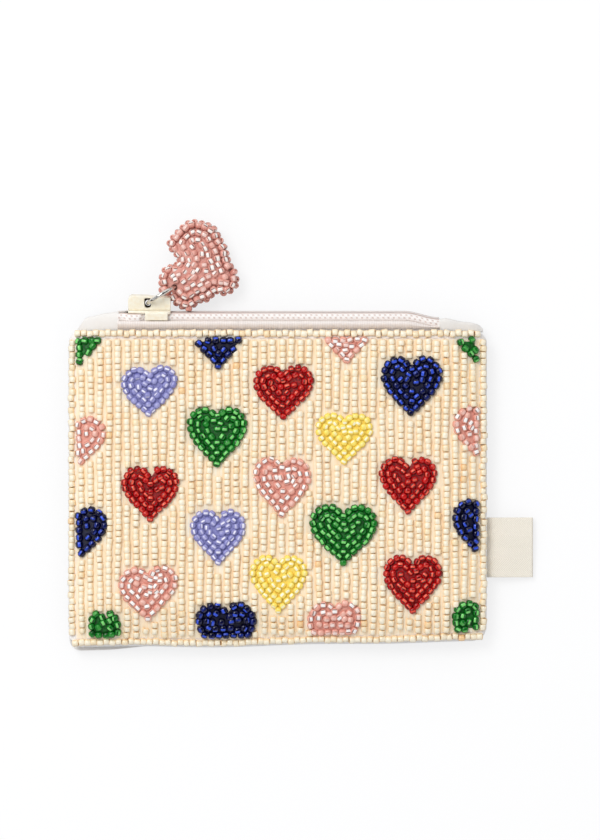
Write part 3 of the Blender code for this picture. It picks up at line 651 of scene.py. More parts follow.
def beadLevel(x, y):
    # what the beads lie on: the top of the cloth that they are sewn to
    dip = 0.12 * mm * np.sin(x * 95 + 1.0) * np.sin(y * 80)
    return frontHeight(x, y) + panel["beadLevel"] + dip


def bottomEdge(x):
    # bottom edge of the beaded front: it climbs to the right in a slow wave
    climb = panel["bottomRise"] * smoothStep(x, -30 * mm, 60 * mm)
    return -panel["halfHeight"] + climb + 0.2 * mm * np.sin(x * 130 + 0.5)


def surfaceUp(x, y, height):
    # unit normal of a height field, from its slope over a short step
    e = 0.2 * mm
    slopeX = (height(x + e, y) - height(x - e, y)) / (2 * e)
    slopeY = (height(x, y + e) - height(x, y - e)) / (2 * e)
    return unit(stacked(-slopeX, -slopeY, 1.0))


# the front opens from the zip's left end to the slider, where that is when the zip is open
mouthLeft, mouthMiddle, mouthRight = -46 * mm, -11 * mm, 23.7 * mm


def openWithMouth(piece):
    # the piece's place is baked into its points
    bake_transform(piece)


def settle(piece, node, body=None, x=None):
    # a piece rides on its body, or has its place baked into its points when x is given, and it shows in place
    # of its node
    if x is None:
        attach(piece, body)
    else:
        openWithMouth(piece)
    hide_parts(node)


def panelGrid(sideFrom, sideTo, low, high, half, corner, columns, rows):
    # rows as long as the round-cornered outline is there; sideFrom and sideTo are shares of it
    v = (1 - np.cos(np.linspace(0, math.pi, rows))) / 2
    shares = np.sin(np.linspace(sideFrom, sideTo, columns) * math.pi / 2)
    y = low + (high - low) * v
    short = np.clip(corner - np.minimum(y - low, high - y), 0, corner)
    halfRows = half - corner + np.sqrt(corner**2 - short**2)
    x = halfRows[:, None] * shares[None, :]
    return x, np.repeat(y[:, None], columns, axis=1)


def makeLayer(name, side, low, high, half, height, finish, thickness, marks=None, tuck=0.0):
    # one part (or all) of a cloth layer, from its underside up, its low edge along the bottom's wave
    cut = math.asin(mouthMiddle / half) / (math.pi / 2)
    ends = {"left": (-1, cut), "right": (cut, 1), "all": (-1, 1)}[side]
    columns = {"left": 55, "right": 67, "all": 121}[side]
    x, y = panelGrid(*ends, low, high, half, panel["corner"], columns, 73)
    rise = bottomEdge(x) + panel["halfHeight"] + tuck * smoothStep(x, -50 * mm, -34 * mm)
    y = y + rise * (high - y) / (high - low)
    points = stacked(x, y, height(x, y))
    piece = gridPiece(name, points, finish, points[..., :2], marks and marks(x, y))
    thicken(piece, thickness, 1, thickness * 0.3)
    return piece


def seamRoll(x, y):
    # how far a cloth turns towards the seam in its last bit before the side and bottom edges
    toSide = (panel["halfWidth"] - np.abs(x)) / panel["seamBand"]
    toBottom = (y - bottomEdge(x)) / panel["seamBand"]
    near = 1 - np.clip(np.minimum(toSide, toBottom), 0, 1)
    return near**2


def beadedMark(x, y):
    # 1 where beads cover the cloth, falling to 0 in a narrow band along each edge
    sides = smoothStep(panel["beadedHalf"] - np.abs(x), 0, panel["beadedFade"])
    bottom = smoothStep(y - bottomEdge(x), *panel["beadedLow"])
    return {"beaded": sides * bottom * smoothStep(panel["beadedTop"] - y, 0, panel["beadedFade"])}


def frontClothHeight(x, y):
    return beadLevel(x, y) - panel["clothThick"] + panel["nap"] - 1.6 * mm * seamRoll(x, y)


def makeCloths():
    half, low, top = panel["halfWidth"], -panel["halfHeight"], panel["clothTop"]
    inset = panel["liningInset"]
    liningEdges = (low + inset, panel["liningTop"], half - inset)
    for side, x, wide in (("left", -1, half + mouthMiddle), ("right", 1, half - mouthMiddle)):
        piece = makeLayer(
            "frontCloth_" + side, side, low + 0.5 * mm, top, half - 0.6 * mm,
            frontClothHeight, beadCloth, panel["clothThick"], marks=beadedMark,
        )
        settle(piece, "front_cloth", x=x)
        piece = makeLayer(
            "frontLining_" + side, side, *liningEdges, frontHeight, liningCotton, panel["liningThick"]
        )
        settle(piece, "lining_front", x=x)
    piece = makeLayer(
        "backCloth", "all", low - panel["backPeek"], top, half,
        lambda x, y: backHeight(x, y) + 0.5 * mm * seamRoll(x, y), cotton, 0.75 * mm,
        tuck=panel["backTuck"],
    )
    settle(piece, "back_panel", body="back")
    piece = makeLayer(
        "backLining", "all", *liningEdges,
        lambda x, y: backHeight(x, y) + 1.0 * mm, liningCotton, panel["liningThick"],
    )
    settle(piece, "lining_back", body="back")


makeCloths()
print("cloths made")

# Beads

# hole and corner as shares of a bead's radius, shoulder of its half length
tubeBead = {"hole": 0.40, "corner": 0.78, "shoulder": 0.80, "sides": 8}
roundBead = {"hole": 0.30, "corner": 0.64, "shoulder": 0.50, "sides": 10}


def makeBeads(name, places, ways, ups, radius, length, shape, finish, turn=0.0):
    # each bead is the profile of its wall, as (along the hole, out from it), turned round the hole:
    # point = place + way * along + (side * cos a + up * sin a) * out
    hole, corner, shoulder = shape["hole"], shape["corner"], shape["shoulder"]
    along = np.array([-0.9, 0.9, 1.0, shoulder, -shoulder, -1.0])
    out = np.array([hole, hole, corner, 1.0, 1.0, corner])
    count, ring, sides = len(places), len(along), shape["sides"]
    ways = unit(ways)
    side = unit(np.cross(ways, ups))
    up = np.cross(side, ways)
    angle = (np.arange(sides) + 0.5) * math.tau / sides
    radius = np.broadcast_to(radius, (count,))
    length = np.broadcast_to(length, (count,))
    points = (
        places[:, None, None, :]
        + ways[:, None, None, :] * (length[:, None] / 2 * along)[:, :, None, None]
        + spokes(side, up, angle)[:, None, :, :] * (radius[:, None] * out)[:, :, None, None]
    )
    one = gridFaces(ring, sides, wrapRows=True, wrapColumns=True)
    faces = one[None] + (np.arange(count) * ring * sides)[:, None, None]
    # top is the cosine from the bead's bright side, which looks up but for a turn of its own; by it the
    # finishes paint each bead's light and shade
    top = np.sin(angle[None, :] + chance.normal(0, turn + 1e-9, (count, 1)))
    marks = {
        "tone": np.repeat(chance.random(count), ring * sides),
        "end": np.tile(np.repeat(np.abs(along), sides), count),
        "top": np.repeat(top[:, None, :], ring, axis=1),
    }
    return makePiece(name, points, [faces.reshape(-1, 4)], finish, marks)


def heartCurve(place, count=360):
    # x = sin^3 t, y = 13.6 cos t - 4 cos 2t - 1.6 cos 3t - 0.6 cos 4t, from the tip clockwise, put in
    # a box: a shallow notch, as beads make it; lean lifts the right lobe
    x, y, width, height, lean = [number * mm for number in place]
    t = np.linspace(math.pi, math.pi + math.tau, count, endpoint=False)
    u = np.sin(t) ** 3 / 2
    v = 13.6 * np.cos(t) - 4 * np.cos(2 * t) - 1.6 * np.cos(3 * t) - 0.6 * np.cos(4 * t)
    v = (v - (v.max() + v.min()) / 2) / (v.max() - v.min())
    return stacked(x + width * u, y + height * v + lean * 2 * u)


def isInside(x, y, outline):
    # crossing rule: an upright line from the point crosses the outline an odd number of times
    start, end = outline, np.roll(outline, -1, axis=0)
    px, py = x[:, None], y[:, None]
    spans = (start[:, 0] > px) != (end[:, 0] > px)
    run = np.where(end[:, 0] == start[:, 0], 1e-12, end[:, 0] - start[:, 0])
    crossing = start[:, 1] + (px - start[:, 0]) / run * (end[:, 1] - start[:, 1])
    return (spans & (crossing > py)).sum(axis=1) % 2 == 1


def nearest(points, outline):
    return np.linalg.norm(points[:, None, :] - outline[None], axis=-1).min(axis=1)


def evenLine(points, pitch, count=None):
    # places at an even pitch along a closed line, from its first point on, and its direction there
    closed = np.concatenate([points, points[:1]])
    lengths = lengthAlong(closed)
    count = count or max(int(round(lengths[-1] / pitch)), 1)
    at = np.arange(count) * lengths[-1] / count
    before, here, after = [
        np.stack([np.interp((at + step) % lengths[-1], lengths, closed[:, axis]) for axis in (0, 1)], axis=-1)
        for step in (-pitch / 4, 0, pitch / 4)
    ]
    return here, unit(after - before + 1e-9)


def insetLine(outline, inset):
    # a clockwise outline moved inwards along its own normals; what comes nearer to it again goes
    way = unit(np.roll(outline, -1, axis=0) - np.roll(outline, 1, axis=0))
    line = outline + inset * stacked(way[:, 1], -way[:, 0])
    return line[(nearest(line, outline) > 0.97 * inset) & isInside(line[:, 0], line[:, 1], outline)]


def gridInside(outline, step):
    # places on a fine grid inside the outline, and how far from it each of them is
    low, high = outline.min(axis=0), outline.max(axis=0)
    x, y = np.meshgrid(np.arange(low[0], high[0], step), np.arange(low[1], high[1], step))
    at = stacked(x.ravel(), y.ravel())
    at = at[isInside(at[:, 0], at[:, 1], outline)]
    return at, nearest(at, outline)


def heartLayout(outline, radius, pitch, ringStep, edge=0.9):
    # rows of beads from the outline inwards, then one bead wherever another still has room
    outline = evenLine(outline, outlineStep)[0]
    free, room = gridInside(outline, 0.4 * mm)
    rows = []
    inset = min(edge * radius, 0.8 * room.max())
    while room.max() > inset:
        rows.append(evenLine(insetLine(outline, inset), pitch))
        inset += ringStep
    places, ways = [np.concatenate(part) for part in zip(*rows)]
    least = 1.55 * radius
    keep = thin(places, least)
    places, ways = places[keep], ways[keep]
    free = free[room > 0.85 * edge * radius]
    while len(free):
        gaps = np.linalg.norm(free[:, None] - places[None], axis=-1)
        close, gap = gaps.argmin(axis=1), gaps.min(axis=1)
        if gap.max() < least:
            break
        chosen = np.where(gap > least, gap, 1).argmin()
        places = np.concatenate([places, free[[chosen]]])
        ways = np.concatenate([ways, ways[[close[chosen]]]])
    return places, ways


def thin(places, least):
    # keeps a point only if no earlier one is nearer than the least distance
    gaps = np.linalg.norm(places[:, None] - places[None], axis=-1)
    keep = np.ones(len(places), bool)
    for i in range(1, len(places)):
        keep[i] = not np.any(keep[:i] & (gaps[i, :i] < least))
    return keep


hearts = {
    # middle x, middle y, width, height (mm), how much its right lobe is higher (mm), colour
    "lavender_1": (-36.8, 27.1, 16.2, 15.8, 0.6, "lavender"),
    "red_1": (1.7, 26.8, 17.5, 17.0, 0.2, "red"),
    "navy_1": (38.4, 28.5, 17.9, 18.8, 0.0, "navy"),
    "green_1": (-17.3, 14.0, 17.5, 18.8, 0.0, "green"),
    "yellow_1": (19.1, 13.6, 16.5, 16.1, 0.0, "yellow"),
    "red_2": (-36.4, -2.3, 16.7, 17.3, 0.0, "red"),
    "pink_1": (1.3, -0.4, 16.6, 18.6, -0.2, "pink"),
    "red_3": (37.4, 0.1, 16.7, 17.8, 0.0, "red"),
    "lavender_2": (-17.0, -14.7, 16.0, 17.1, 0.0, "lavender"),
    "green_2": (18.9, -13.9, 19.7, 18.8, 0.0, "green"),
    "pink_2": (-37.1, -30.8, 17.1, 16.9, 0.6, "pink"),
    "yellow_2": (0.3, -28.1, 16.4, 18.0, 0.0, "yellow"),
    "red_4": (38.7, -28.2, 17.1, 18.3, 0.0, "red"),
    "green_top_left": (-56.7, 43.0, 15.1, 16.7, 0.0, "green"),
    "navy_top": (-16.8, 42.5, 16.8, 18.0, 0.0, "navy"),
    "pink_top": (19.9, 43.5, 16.5, 16.9, 0.4, "pink"),
    "green_top_right": (57.9, 42.8, 16.0, 17.2, 0.0, "green"),
    "pink_left": (-57.5, 12.6, 16.0, 15.1, 0.0, "pink"),
    "navy_left": (-57.5, -13.7, 17.1, 15.8, 0.0, "navy"),
    "pink_right": (58.5, 15.0, 15.5, 16.2, 0.0, "pink"),
    "navy_right": (58.5, -12.3, 16.1, 17.6, 0.0, "navy"),
    "green_bottom_left": (-49.6, -43.9, 8.7, 16.9, 0.0, "green"),
    "navy_bottom": (-14.8, -41.8, 16.8, 17.6, 0.0, "navy"),
    "pink_bottom": (16.3, -41.2, 14.8, 16.9, 0.4, "pink"),
    "green_bottom_right": (57.9, -41.2, 15.1, 17.2, 0.0, "green"),
}

heartBeads = {
    # bead radius, pitch along a row, step between rows
    "red": (1.0 * mm, 1.92 * mm, 1.98 * mm),
    "green": (1.08 * mm, 2.05 * mm, 2.08 * mm),
    "navy": (1.12 * mm, 2.12 * mm, 2.12 * mm),
    "lavender": (0.95 * mm, 1.88 * mm, 1.95 * mm),
    "yellow": (0.95 * mm, 1.88 * mm, 1.92 * mm),
    "pink": (1.0 * mm, 2.02 * mm, 2.20 * mm),
}
# how far a heart's beads stray from their row: place, turn, size, length and height
heartStray = {"place": 0.08 * mm, "turn": 0.13, "size": 0.03, "length": 0.05, "lift": 0.15 * mm}
outlineStep = 0.35 * mm  # between points of a heart's outline

field = {
    "halfWidth": 57.45 * mm,
    "top": 42.83 * mm,
    "bottomGap": 2.75 * mm,  # from the bottom edge to the lowest bead
    "columns": 44,
    "rows": 56,
    "radius": 0.98 * mm,
    "length": 1.72 * mm,
    "step": 1.75 * mm,
    "wobble": 0.16 * mm,
    "waves": 190,  # of the wobble, in radians for each metre
    "gapChance": 0.08,
    "gap": 0.4 * mm,
    "heartClear": 0.72 * mm,
}


def clipSide(outline, axis, limit, sign):
    # the part of a closed line on one side of a straight one: crossings come in, what is beyond goes
    after = np.roll(outline, -1, axis=0)
    inside = sign * (outline[:, axis] - limit) <= 0
    crosses = inside != np.roll(inside, -1)
    span = np.where(crosses, after[:, axis] - outline[:, axis], 1)
    share = (limit - outline[:, axis]) / span
    crossing = outline + share[:, None] * (after - outline)
    both = np.stack([outline, crossing], axis=1).reshape(-1, 2)
    return both[np.stack([inside, crosses], axis=1).ravel()]


def clipToField(outline):
    # what lies inside the field's edges
    low = bottomEdge(outline[:, 0].mean()) + field["bottomGap"]
    edges = ((0, field["halfWidth"], 1), (0, -field["halfWidth"], -1), (1, field["top"], 1), (1, low, -1))
    for axis, limit, sign in edges:
        outline = clipSide(outline, axis, limit, sign)
    return outline


def makeHeartGround(name, outline, colour, radius):
    # the threads between the rows: a low cushion with round shoulders under the outer row
    edge = evenLine(outline, outlineStep)[0]
    edge = evenLine(insetLine(edge, 0.75 * radius), outlineStep, 100)[0]
    middle = edge.mean(axis=0)
    shares = np.array([0.4, 0.8, 1.0, 1.0, 0.94, 0.8, 0.5])[:, None, None]
    levels = np.array([0.1, 0.1, 0.1, 0.75, 0.95, 1.0, 1.0])[:, None] * radius * 1.15
    flat = middle + (edge - middle) * shares
    z = beadLevel(flat[..., 0], flat[..., 1]) + levels
    return closedForm(name, np.concatenate([flat, z[..., None]], axis=-1), ground[colour])


def makeHearts():
    # rows of beads that stray a little from their places, over a ground in their painted flank shade
    for name, (*place, colour) in hearts.items():
        radius, pitch, ringStep = heartBeads[colour]
        whole = heartCurve(place)
        outline = clipToField(whole)
        edge = 0.9 if len(outline) == len(whole) else 0.5
        places, ways = heartLayout(outline, radius, pitch, ringStep, edge)
        count = len(places)
        px, py = (places + chance.normal(0, heartStray["place"], (count, 2))).T
        up = surfaceUp(px, py, beadLevel)
        turn = chance.normal(0, heartStray["turn"], count)
        turned = ways * np.cos(turn)[:, None] + stacked(-ways[:, 1], ways[:, 0]) * np.sin(turn)[:, None]
        flat = onSurface(inSpace(turned), up)
        z = beadLevel(px, py) + radius + 0.1 * mm + chance.random(count) * heartStray["lift"]
        sizes = vary(radius, heartStray["size"], count)
        lengths = vary(pitch * 0.94, heartStray["length"], count)
        centre = stacked(px, py, z)
        beads = makeBeads("heart_" + name + "_beads", centre, flat, up, sizes, lengths, roundBead,
                          glass[colour], turn=0.35)
        bed = makeHeartGround("heart_" + name + "_ground", outline, colour, radius)
        for piece in (beads, bed):
            settle(piece, "heart_" + name, x=place[0] * mm)


def makeField():
    # upright columns of beads with a slow wobble, left out where a heart lies
    columns, rows = field["columns"], field["rows"]
    middle = -field["halfWidth"] + (np.arange(columns) + 0.5) * 2 * field["halfWidth"] / columns
    steps = vary(field["step"], 0.035, (columns, rows))
    loose = chance.random((columns, rows)) < field["gapChance"]
    steps += loose * chance.random((columns, rows)) * field["gap"]
    start = field["top"] - field["length"] / 2 + steps[:, :1] * (1 - 0.35 * chance.random((columns, 1)))
    y = start - np.cumsum(steps, axis=1)
    phase = chance.random((columns, 1)) * math.tau
    wave = y * field["waves"] + phase
    x = middle[:, None] + field["wobble"] * np.sin(wave) + chance.normal(0, 0.06 * mm, y.shape)
    lean = field["waves"] * field["wobble"] * np.cos(wave) + chance.normal(0, 0.07, y.shape)
    x, y, lean = x.ravel(), y.ravel(), lean.ravel()
    keep = y > bottomEdge(x) + field["bottomGap"] + field["length"] * 0.2
    at = stacked(x, y)
    for values in hearts.values():
        curve = heartCurve(values[:5], 90)
        keep &= ~(isInside(x, y, curve) | (nearest(at, curve) < field["heartClear"]))
    x, y, lean = x[keep], y[keep], lean[keep]
    up = surfaceUp(x, y, beadLevel)
    way = onSurface(stacked(lean, 1.0, 0.0), up)
    z = beadLevel(x, y) + field["radius"] + chance.random(len(x)) * 0.1 * mm
    centre = stacked(x, y, z)
    radius = vary(field["radius"], 0.045, len(x))
    length = vary(field["length"], 0.05, len(x))
    left = x < mouthMiddle
    for name, half, side in (("field_beads_left", left, -1), ("field_beads_right", ~left, 1)):
        piece = makeBeads(name, centre[half], way[half], up[half], radius[half], length[half],
                          tubeBead, ivory)
        settle(piece, "bead_field", x=side)
    print("ivory beads:", len(x))


piping = {
    "radius": 1.0 * mm,
    "length": 1.74 * mm,
    "step": 1.79 * mm,
    "inset": 1.15 * mm,  # from the top and bottom edges to the row's middle
    "sideInset": 0.95 * mm,
    "sideTop": 42.6 * mm,
    "sideLow": (-42.3 * mm, -40.9 * mm),  # left and right
    "zigzag": 0.14 * mm,
}


def makePiping(name, node, start, end, along, side):
    # one row of rounder beads along an edge, a little off the line by turns
    span = np.linalg.norm(np.subtract(end, start))
    count = int(span / piping["step"]) + 1
    share = (np.arange(count) + 0.5) / count
    x = start[0] + (end[0] - start[0]) * share
    y = start[1] + (end[1] - start[1]) * share
    if along == "bottom":
        y = bottomEdge(x) + piping["inset"]
    offLine = piping["zigzag"] * np.where(np.arange(count) % 2, 1, -1) + chance.normal(0, 0.07 * mm, count)
    if along == "side":
        x = x + offLine
    else:
        y = y + offLine
    up = surfaceUp(x, y, beadLevel)
    straight = (0, 1, 0) if along == "side" else (1, 0, 0)
    way = straight + chance.normal(0, 0.12, (count, 3))
    z = beadLevel(x, y) + piping["radius"] + 0.05 * mm
    centre = stacked(x, y, z)
    radius = vary(piping["radius"], 0.04, count)
    length = vary(piping["length"], 0.05, count)
    piece = makeBeads(name, centre, way, up, radius, length, tubeBead, ivory)
    settle(piece, node, x=side)


seamThread = {"radius": 0.12 * mm, "stitch": 2.6 * mm, "bottom": 2.35 * mm, "top": 42.95 * mm,
              "reach": 57.5 * mm}


def makeSeamThreads():
    # a sewing thread beside the piping, in and out of the cloth: z = level + sin(x / stitch)
    for edge in ("top", "bottom"):
        for side, xTo in (("left", -seamThread["reach"]), ("right", seamThread["reach"])):
            x = np.linspace(mouthMiddle, xTo, 240)
            y = bottomEdge(x) + seamThread["bottom"] if edge == "bottom" else seamThread["top"] + 0 * x
            y = y + 0.08 * mm * np.sin(x * 700)
            height = panel["nap"] + seamThread["radius"] * np.sin(x / seamThread["stitch"] * math.tau)
            path = stacked(x, y, beadLevel(x, y) + height)
            piece = makeThread("seamThread_" + edge + "_" + side, path, seamThread["radius"])
            settle(piece, "front_cloth", x=xTo)


makeHearts()
makeField()
makeSeamThreads()
sideLine = panel["halfWidth"] - piping["sideInset"]
topLine = panel["halfHeight"] - piping["inset"]
for side, x in (("left", -1), ("right", 1)):
    corner = (x * (sideLine - 0.9 * mm), topLine)
    makePiping("pipingTop_" + side, "piping_top", (mouthMiddle, topLine), corner, "top", x)
    low = (x * (sideLine - 0.1 * mm), -topLine)
    makePiping("pipingBottom_" + side, "piping_bottom", (mouthMiddle, -topLine), low, "bottom", x)
for side, x, low in (("Left", -1, piping["sideLow"][0]), ("Right", 1, piping["sideLow"][1])):
    start, end = (x * sideLine, low), (x * sideLine, piping["sideTop"])
    makePiping("piping" + side, "piping_" + side.lower(), start, end, "side", x)
print("hearts, field and piping made")

# Zip

zipper = {
    "tilt": math.radians(15),
    "y": 49.6 * mm,
    "z": 4.9 * mm,
    "left": -45.9 * mm,
    "right": 46.4 * mm,
    "bendStart": 36.5 * mm,  # from here to the right end the chain drops
    "bendDrop": 1.8 * mm,
    "spread": 1.3 * mm,  # how far each half moves out at the slider's wedge
    "nearTo": -44.6 * mm,
    "apartFrom": -42.4 * mm,
    "spreadStart": -39.95 * mm,
    "spreadEnd": -38.15 * mm,
    "pitch": 1.5 * mm,
    "coilOut": 0.42 * mm,  # half the coil's thickness, to the wire's middle
    "coilMiddle": 0.85 * mm,  # of the coil's width, from the chain's middle
    "coilWide": 0.95 * mm,
    "wire": 0.27 * mm,
    "tapeLevel": -1.225 * mm,
    "tapeFold": 3.9 * mm,
    "tapeThick": 0.42 * mm,
    "coverThick": 0.16 * mm,
    "hemTurn": 44.95 * mm,  # where the tape lies flat under the cloth, and where it ends
    "hemEnd": 41.9 * mm,
    # how high each half's hem lies, and its tape's last point before it: y, and how much higher
    "front": (6.775 * mm, 46.25 * mm, 1.15 * mm),
    "back": (1.225 * mm, 45.85 * mm, -0.45 * mm),
}


def fromZip(x, out, across):
    # places along the chain, out of its face and across it, as points of the frame
    tilt = zipper["tilt"]
    down = zipper["bendDrop"] * smoothStep(x, zipper["bendStart"], zipper["right"])
    y = zipper["y"] + out * math.cos(tilt) - across * math.sin(tilt) - down
    z = zipper["z"] + out * math.sin(tilt) + across * math.cos(tilt)
    return stacked(x, y, z)


def chainSpread(x):
    # the halves stand apart at the slider's wedge, and come near each other again at the left tab
    apart = 1 - smoothStep(x, zipper["spreadStart"], zipper["spreadEnd"])
    return zipper["spread"] * apart * (0.1 + 0.9 * smoothStep(x, zipper["nearTo"], zipper["apartFrom"]))


def makeCoil(side, xFrom, xTo, name, node):
    # a flattened spiral: out = a cos t, across = b + c sin t, with one turn for each pitch
    turns = (xTo - xFrom) / zipper["pitch"]
    t = np.linspace(0, turns, int(turns * 12) + 1) * math.tau
    x = xFrom + (xTo - xFrom) * np.linspace(0, 1, len(t))
    if side < 0:
        t = t + math.pi
    across = zipper["coilMiddle"] + zipper["coilWide"] * np.sin(t) + chainSpread(x)
    path = fromZip(x, zipper["coilOut"] * np.cos(t), side * across)
    dress(makeThread(name, path, zipper["wire"]), node, side, xFrom)


# the sewn edge over the coil, from beside the tape over the coil's bends: (out, across) in mm
coverProfile = [
    (-1.0, 1.5), (-0.92, 2.0), (-0.45, 2.28), (0.3, 2.28), (0.76, 1.92), (0.95, 1.2), (0.97, 0.35)
]


def makeCover(side, xFrom, xTo, name, node):
    # the profile, smoothed, carried along the chain, with a small swell at each stitch
    profile = smoothAcross(np.array(coverProfile) * mm, 25)
    run = lengthAlong(profile)
    x = np.linspace(xFrom, xTo, int((xTo - xFrom) / (0.3 * mm)) + 1)
    swell = 0.05 * mm * np.sin(x * 800 * math.tau)[None, :] * np.sin(run / run[-1] * math.pi)[:, None]
    out = profile[:, :1] + 0 * x
    across = side * (profile[:, 1:] + chainSpread(x)[None, :] + swell)
    points = fromZip(x[None, :] + 0 * out, out, across)
    flatMap = stacked(x[None, :], run[:, None])
    piece = gridPiece(name, points, chainCover, flatMap)
    thicken(piece, zipper["coverThick"], -side)
    dress(piece, node, side, xFrom)


def dress(piece, node, side, xFrom):
    # the front's half of the zip has its place baked in like the front, the other half rides on the back
    settle(piece, node, body="back", x=xFrom if side > 0 else None)


def smoothAcross(keys, count):
    # a smooth line through the key points (Catmull-Rom), at even shares
    padded = np.concatenate([2 * keys[:1] - keys[1:2], keys, 2 * keys[-1:] - keys[-2:-1]])
    at = np.linspace(0, len(keys) - 1 - 1e-9, count)
    k = at.astype(int)
    t = (at - k).reshape(-1, *([1] * (keys.ndim - 1)))
    p0, p1, p2, p3 = padded[k], padded[k + 1], padded[k + 2], padded[k + 3]
    square = 2 * p0 - 5 * p1 + 4 * p2 - p3
    cube = 3 * p1 - p0 - 3 * p2 + p3
    return 0.5 * (2 * p1 + (p2 - p0) * t + square * t**2 + cube * t**3)


def makeTapePiece(side, xFrom, xTo, name, node):
    # across the tape: from beside the coil, round its fold, to the hem under the cloth
    x = np.linspace(xFrom, xTo, int((xTo - xFrom) / mm) + 1)
    hem, leadY, leadUp = zipper["front" if side > 0 else "back"]
    flat = zipper["tapeFold"] - 0.9 * mm * smoothStep(x, zipper["bendStart"], zipper["right"])
    level = zipper["tapeLevel"] + 0 * x
    near = fromZip(x, level, side * (0.35 * mm + chainSpread(x)))
    fold = fromZip(x, level, side * flat)
    line = ((leadY, hem + leadUp), (zipper["hemTurn"], hem), (zipper["hemEnd"], hem))
    lead, turn, inner = [stacked(x, y, z) for y, z in line]
    points = smoothAcross(np.stack([near, (near + fold) / 2, fold, lead, turn, inner]), 29)
    run = lengthAlong(points[:, 0])
    flatMap = stacked(x[None, :], run[:, None])
    piece = gridPiece(name, points, tapeCloth, flatMap)
    thicken(piece, zipper["tapeThick"], 0, 0.1 * mm)
    dress(piece, node, side, xFrom)


for half, side, end, xFrom, xTo in (
    ("front", 1, "_left", zipper["left"], mouthMiddle),
    ("front", 1, "_right", mouthMiddle, zipper["right"]),
    ("back", -1, "", zipper["left"], zipper["right"]),
):
    makeCoil(side, xFrom, xTo, half + "Coil" + end, "zip_coil_" + half)
    makeCover(side, xFrom, xTo, half + "CoilCover" + end, "zip_coil_" + half)
    makeTapePiece(side, xFrom, xTo, half + "Tape" + end, "zip_tape_" + half)

tab = {"low": 44.75 * mm, "middle": 4.85 * mm, "thick": 4.9 * mm, "sink": 1.5 * mm, "ripple": 0.1 * mm}
tabs = {
    # CAD node, start, direction, reach, and the top edge as shares of the reach and heights in mm
    "zipTabLeft": ("zip_tab_left", -45.5 * mm, -1, 12.0 * mm,
                   (0, 0.72, 0.80, 0.86, 1.0), (6.1, 4.5, 4.1, 3.4, 1.0)),
    "zipTabRight": ("zip_tab_right", 46.1 * mm, 1, 13.0 * mm,
                    (0, 0.16, 0.86, 0.92, 1.0), (3.7, 4.0, 2.4, 2.0, 0.9)),
}


def makeTab(name, node, start, way, reach, shares, heights):
    # folded cloth: upright round-cornered sections that get lower and thinner towards the seam
    s = np.concatenate([[0.0, 0.004], np.linspace(0.03, 0.97, 40), [0.985, 0.995, 1.0]])
    tall = np.interp(s, shares, heights) * mm
    thick = tab["thick"] * (1 - 0.5 * s) * (1 - 0.5 * s**12)
    shrink = np.where(s < 0.02, 0.9 + 5 * s, 1.0)[:, None]
    a = np.linspace(0, math.tau, 40, endpoint=False)
    boxy = (np.abs(np.cos(a)) ** 6 + np.abs(np.sin(a)) ** 6) ** (-1 / 6)
    y = tab["low"] + tall[:, None] / 2 * (1 + shrink * boxy * np.cos(a))
    z = tab["middle"] - tab["sink"] * s[:, None] ** 2 + thick[:, None] / 2 * shrink * boxy * np.sin(a)
    x = start + way * reach * s[:, None] + 0 * y
    ripple = tab["ripple"] * np.sin(x * 900 + y * 300) * np.sin(s[:, None] * math.pi)
    rings = stacked(x, y + ripple, z + ripple)
    flat = stacked(x, z).reshape(-1, 2)
    piece = closedForm(name, rings, cotton, flat=np.concatenate([flat, flat[:1], flat[-1:]]))
    settle(piece, node, body="back")


for name, values in tabs.items():
    makeTab(name, *values)
print("zip and tabs made")

# Ribbon in the side seam

ribbon = {"start": 59.6 * mm, "reach": 13.4 * mm, "width": 17.2 * mm, "middle": -17.2 * mm, "half": 0.42 * mm,
          "seamZ": 2.5 * mm, "droop": 0.9 * mm, "thick": 0.35 * mm}


def makeRibbonPiece():
    # out from the seam, round its fold and back, a little wider apart near the seam
    share = np.linspace(0, 1, 30)
    outX = ribbon["start"] + ribbon["reach"] * share
    apart = ribbon["half"] * (1 + 0.5 * np.sin(share * math.pi))
    turn = np.linspace(math.pi / 2, -math.pi / 2, 9)[1:-1]
    x = np.concatenate([outX, outX[-1] + ribbon["half"] * np.cos(turn), outX[::-1]])
    z = np.concatenate([apart, ribbon["half"] * np.sin(turn), -apart[::-1]])
    v = np.linspace(-0.5, 0.5, 25)
    run = lengthAlong(stacked(x, z))
    wave = 0.25 * mm * np.sin(v * 5.0 + 0.6)[None, :] * smoothStep(x, ribbon["start"], outX[-1])[:, None]
    drop = ribbon["droop"] * smoothStep(x, ribbon["start"], outX[-1])
    level = (ribbon["seamZ"] + z - drop)[:, None] + wave
    points = stacked(x[:, None], ribbon["middle"] + ribbon["width"] * v[None, :], level)
    flat = stacked(run[:, None], v[None, :] * ribbon["width"])
    piece = gridPiece("sideRibbon", points, ribbonCloth, flat)
    thicken(piece, ribbon["thick"], 0, 0.08 * mm)
    settle(piece, "side_label", body="back")


makeRibbonPiece()

# Slider

slider = {
    "left": -42.9 * mm,
    "length": 12.2 * mm,
    "crownLow": 1.84 * mm,  # the crown's foot rests on the plate
    "crownHigh": 6.0 * mm,
    "half": 1.4 * mm,
    "round": 1.4 * mm,
    "small": 0.5 * mm,
    "slope": 0.5 * mm,
    "bevel": 0.22 * mm,
    "eyeLeft": 4.7 * mm,
    "eyeWide": 1.9 * mm,
    "eyeBottom": 2.35 * mm,
    "eyeTop": 5.3 * mm,
    "plateHalf": 0.15 * mm,
    "plateHole": 0.87 * mm,
    "holeShift": (0.1 * mm, 0.15 * mm, 0),  # the hole leaves room for the ring's swing
}
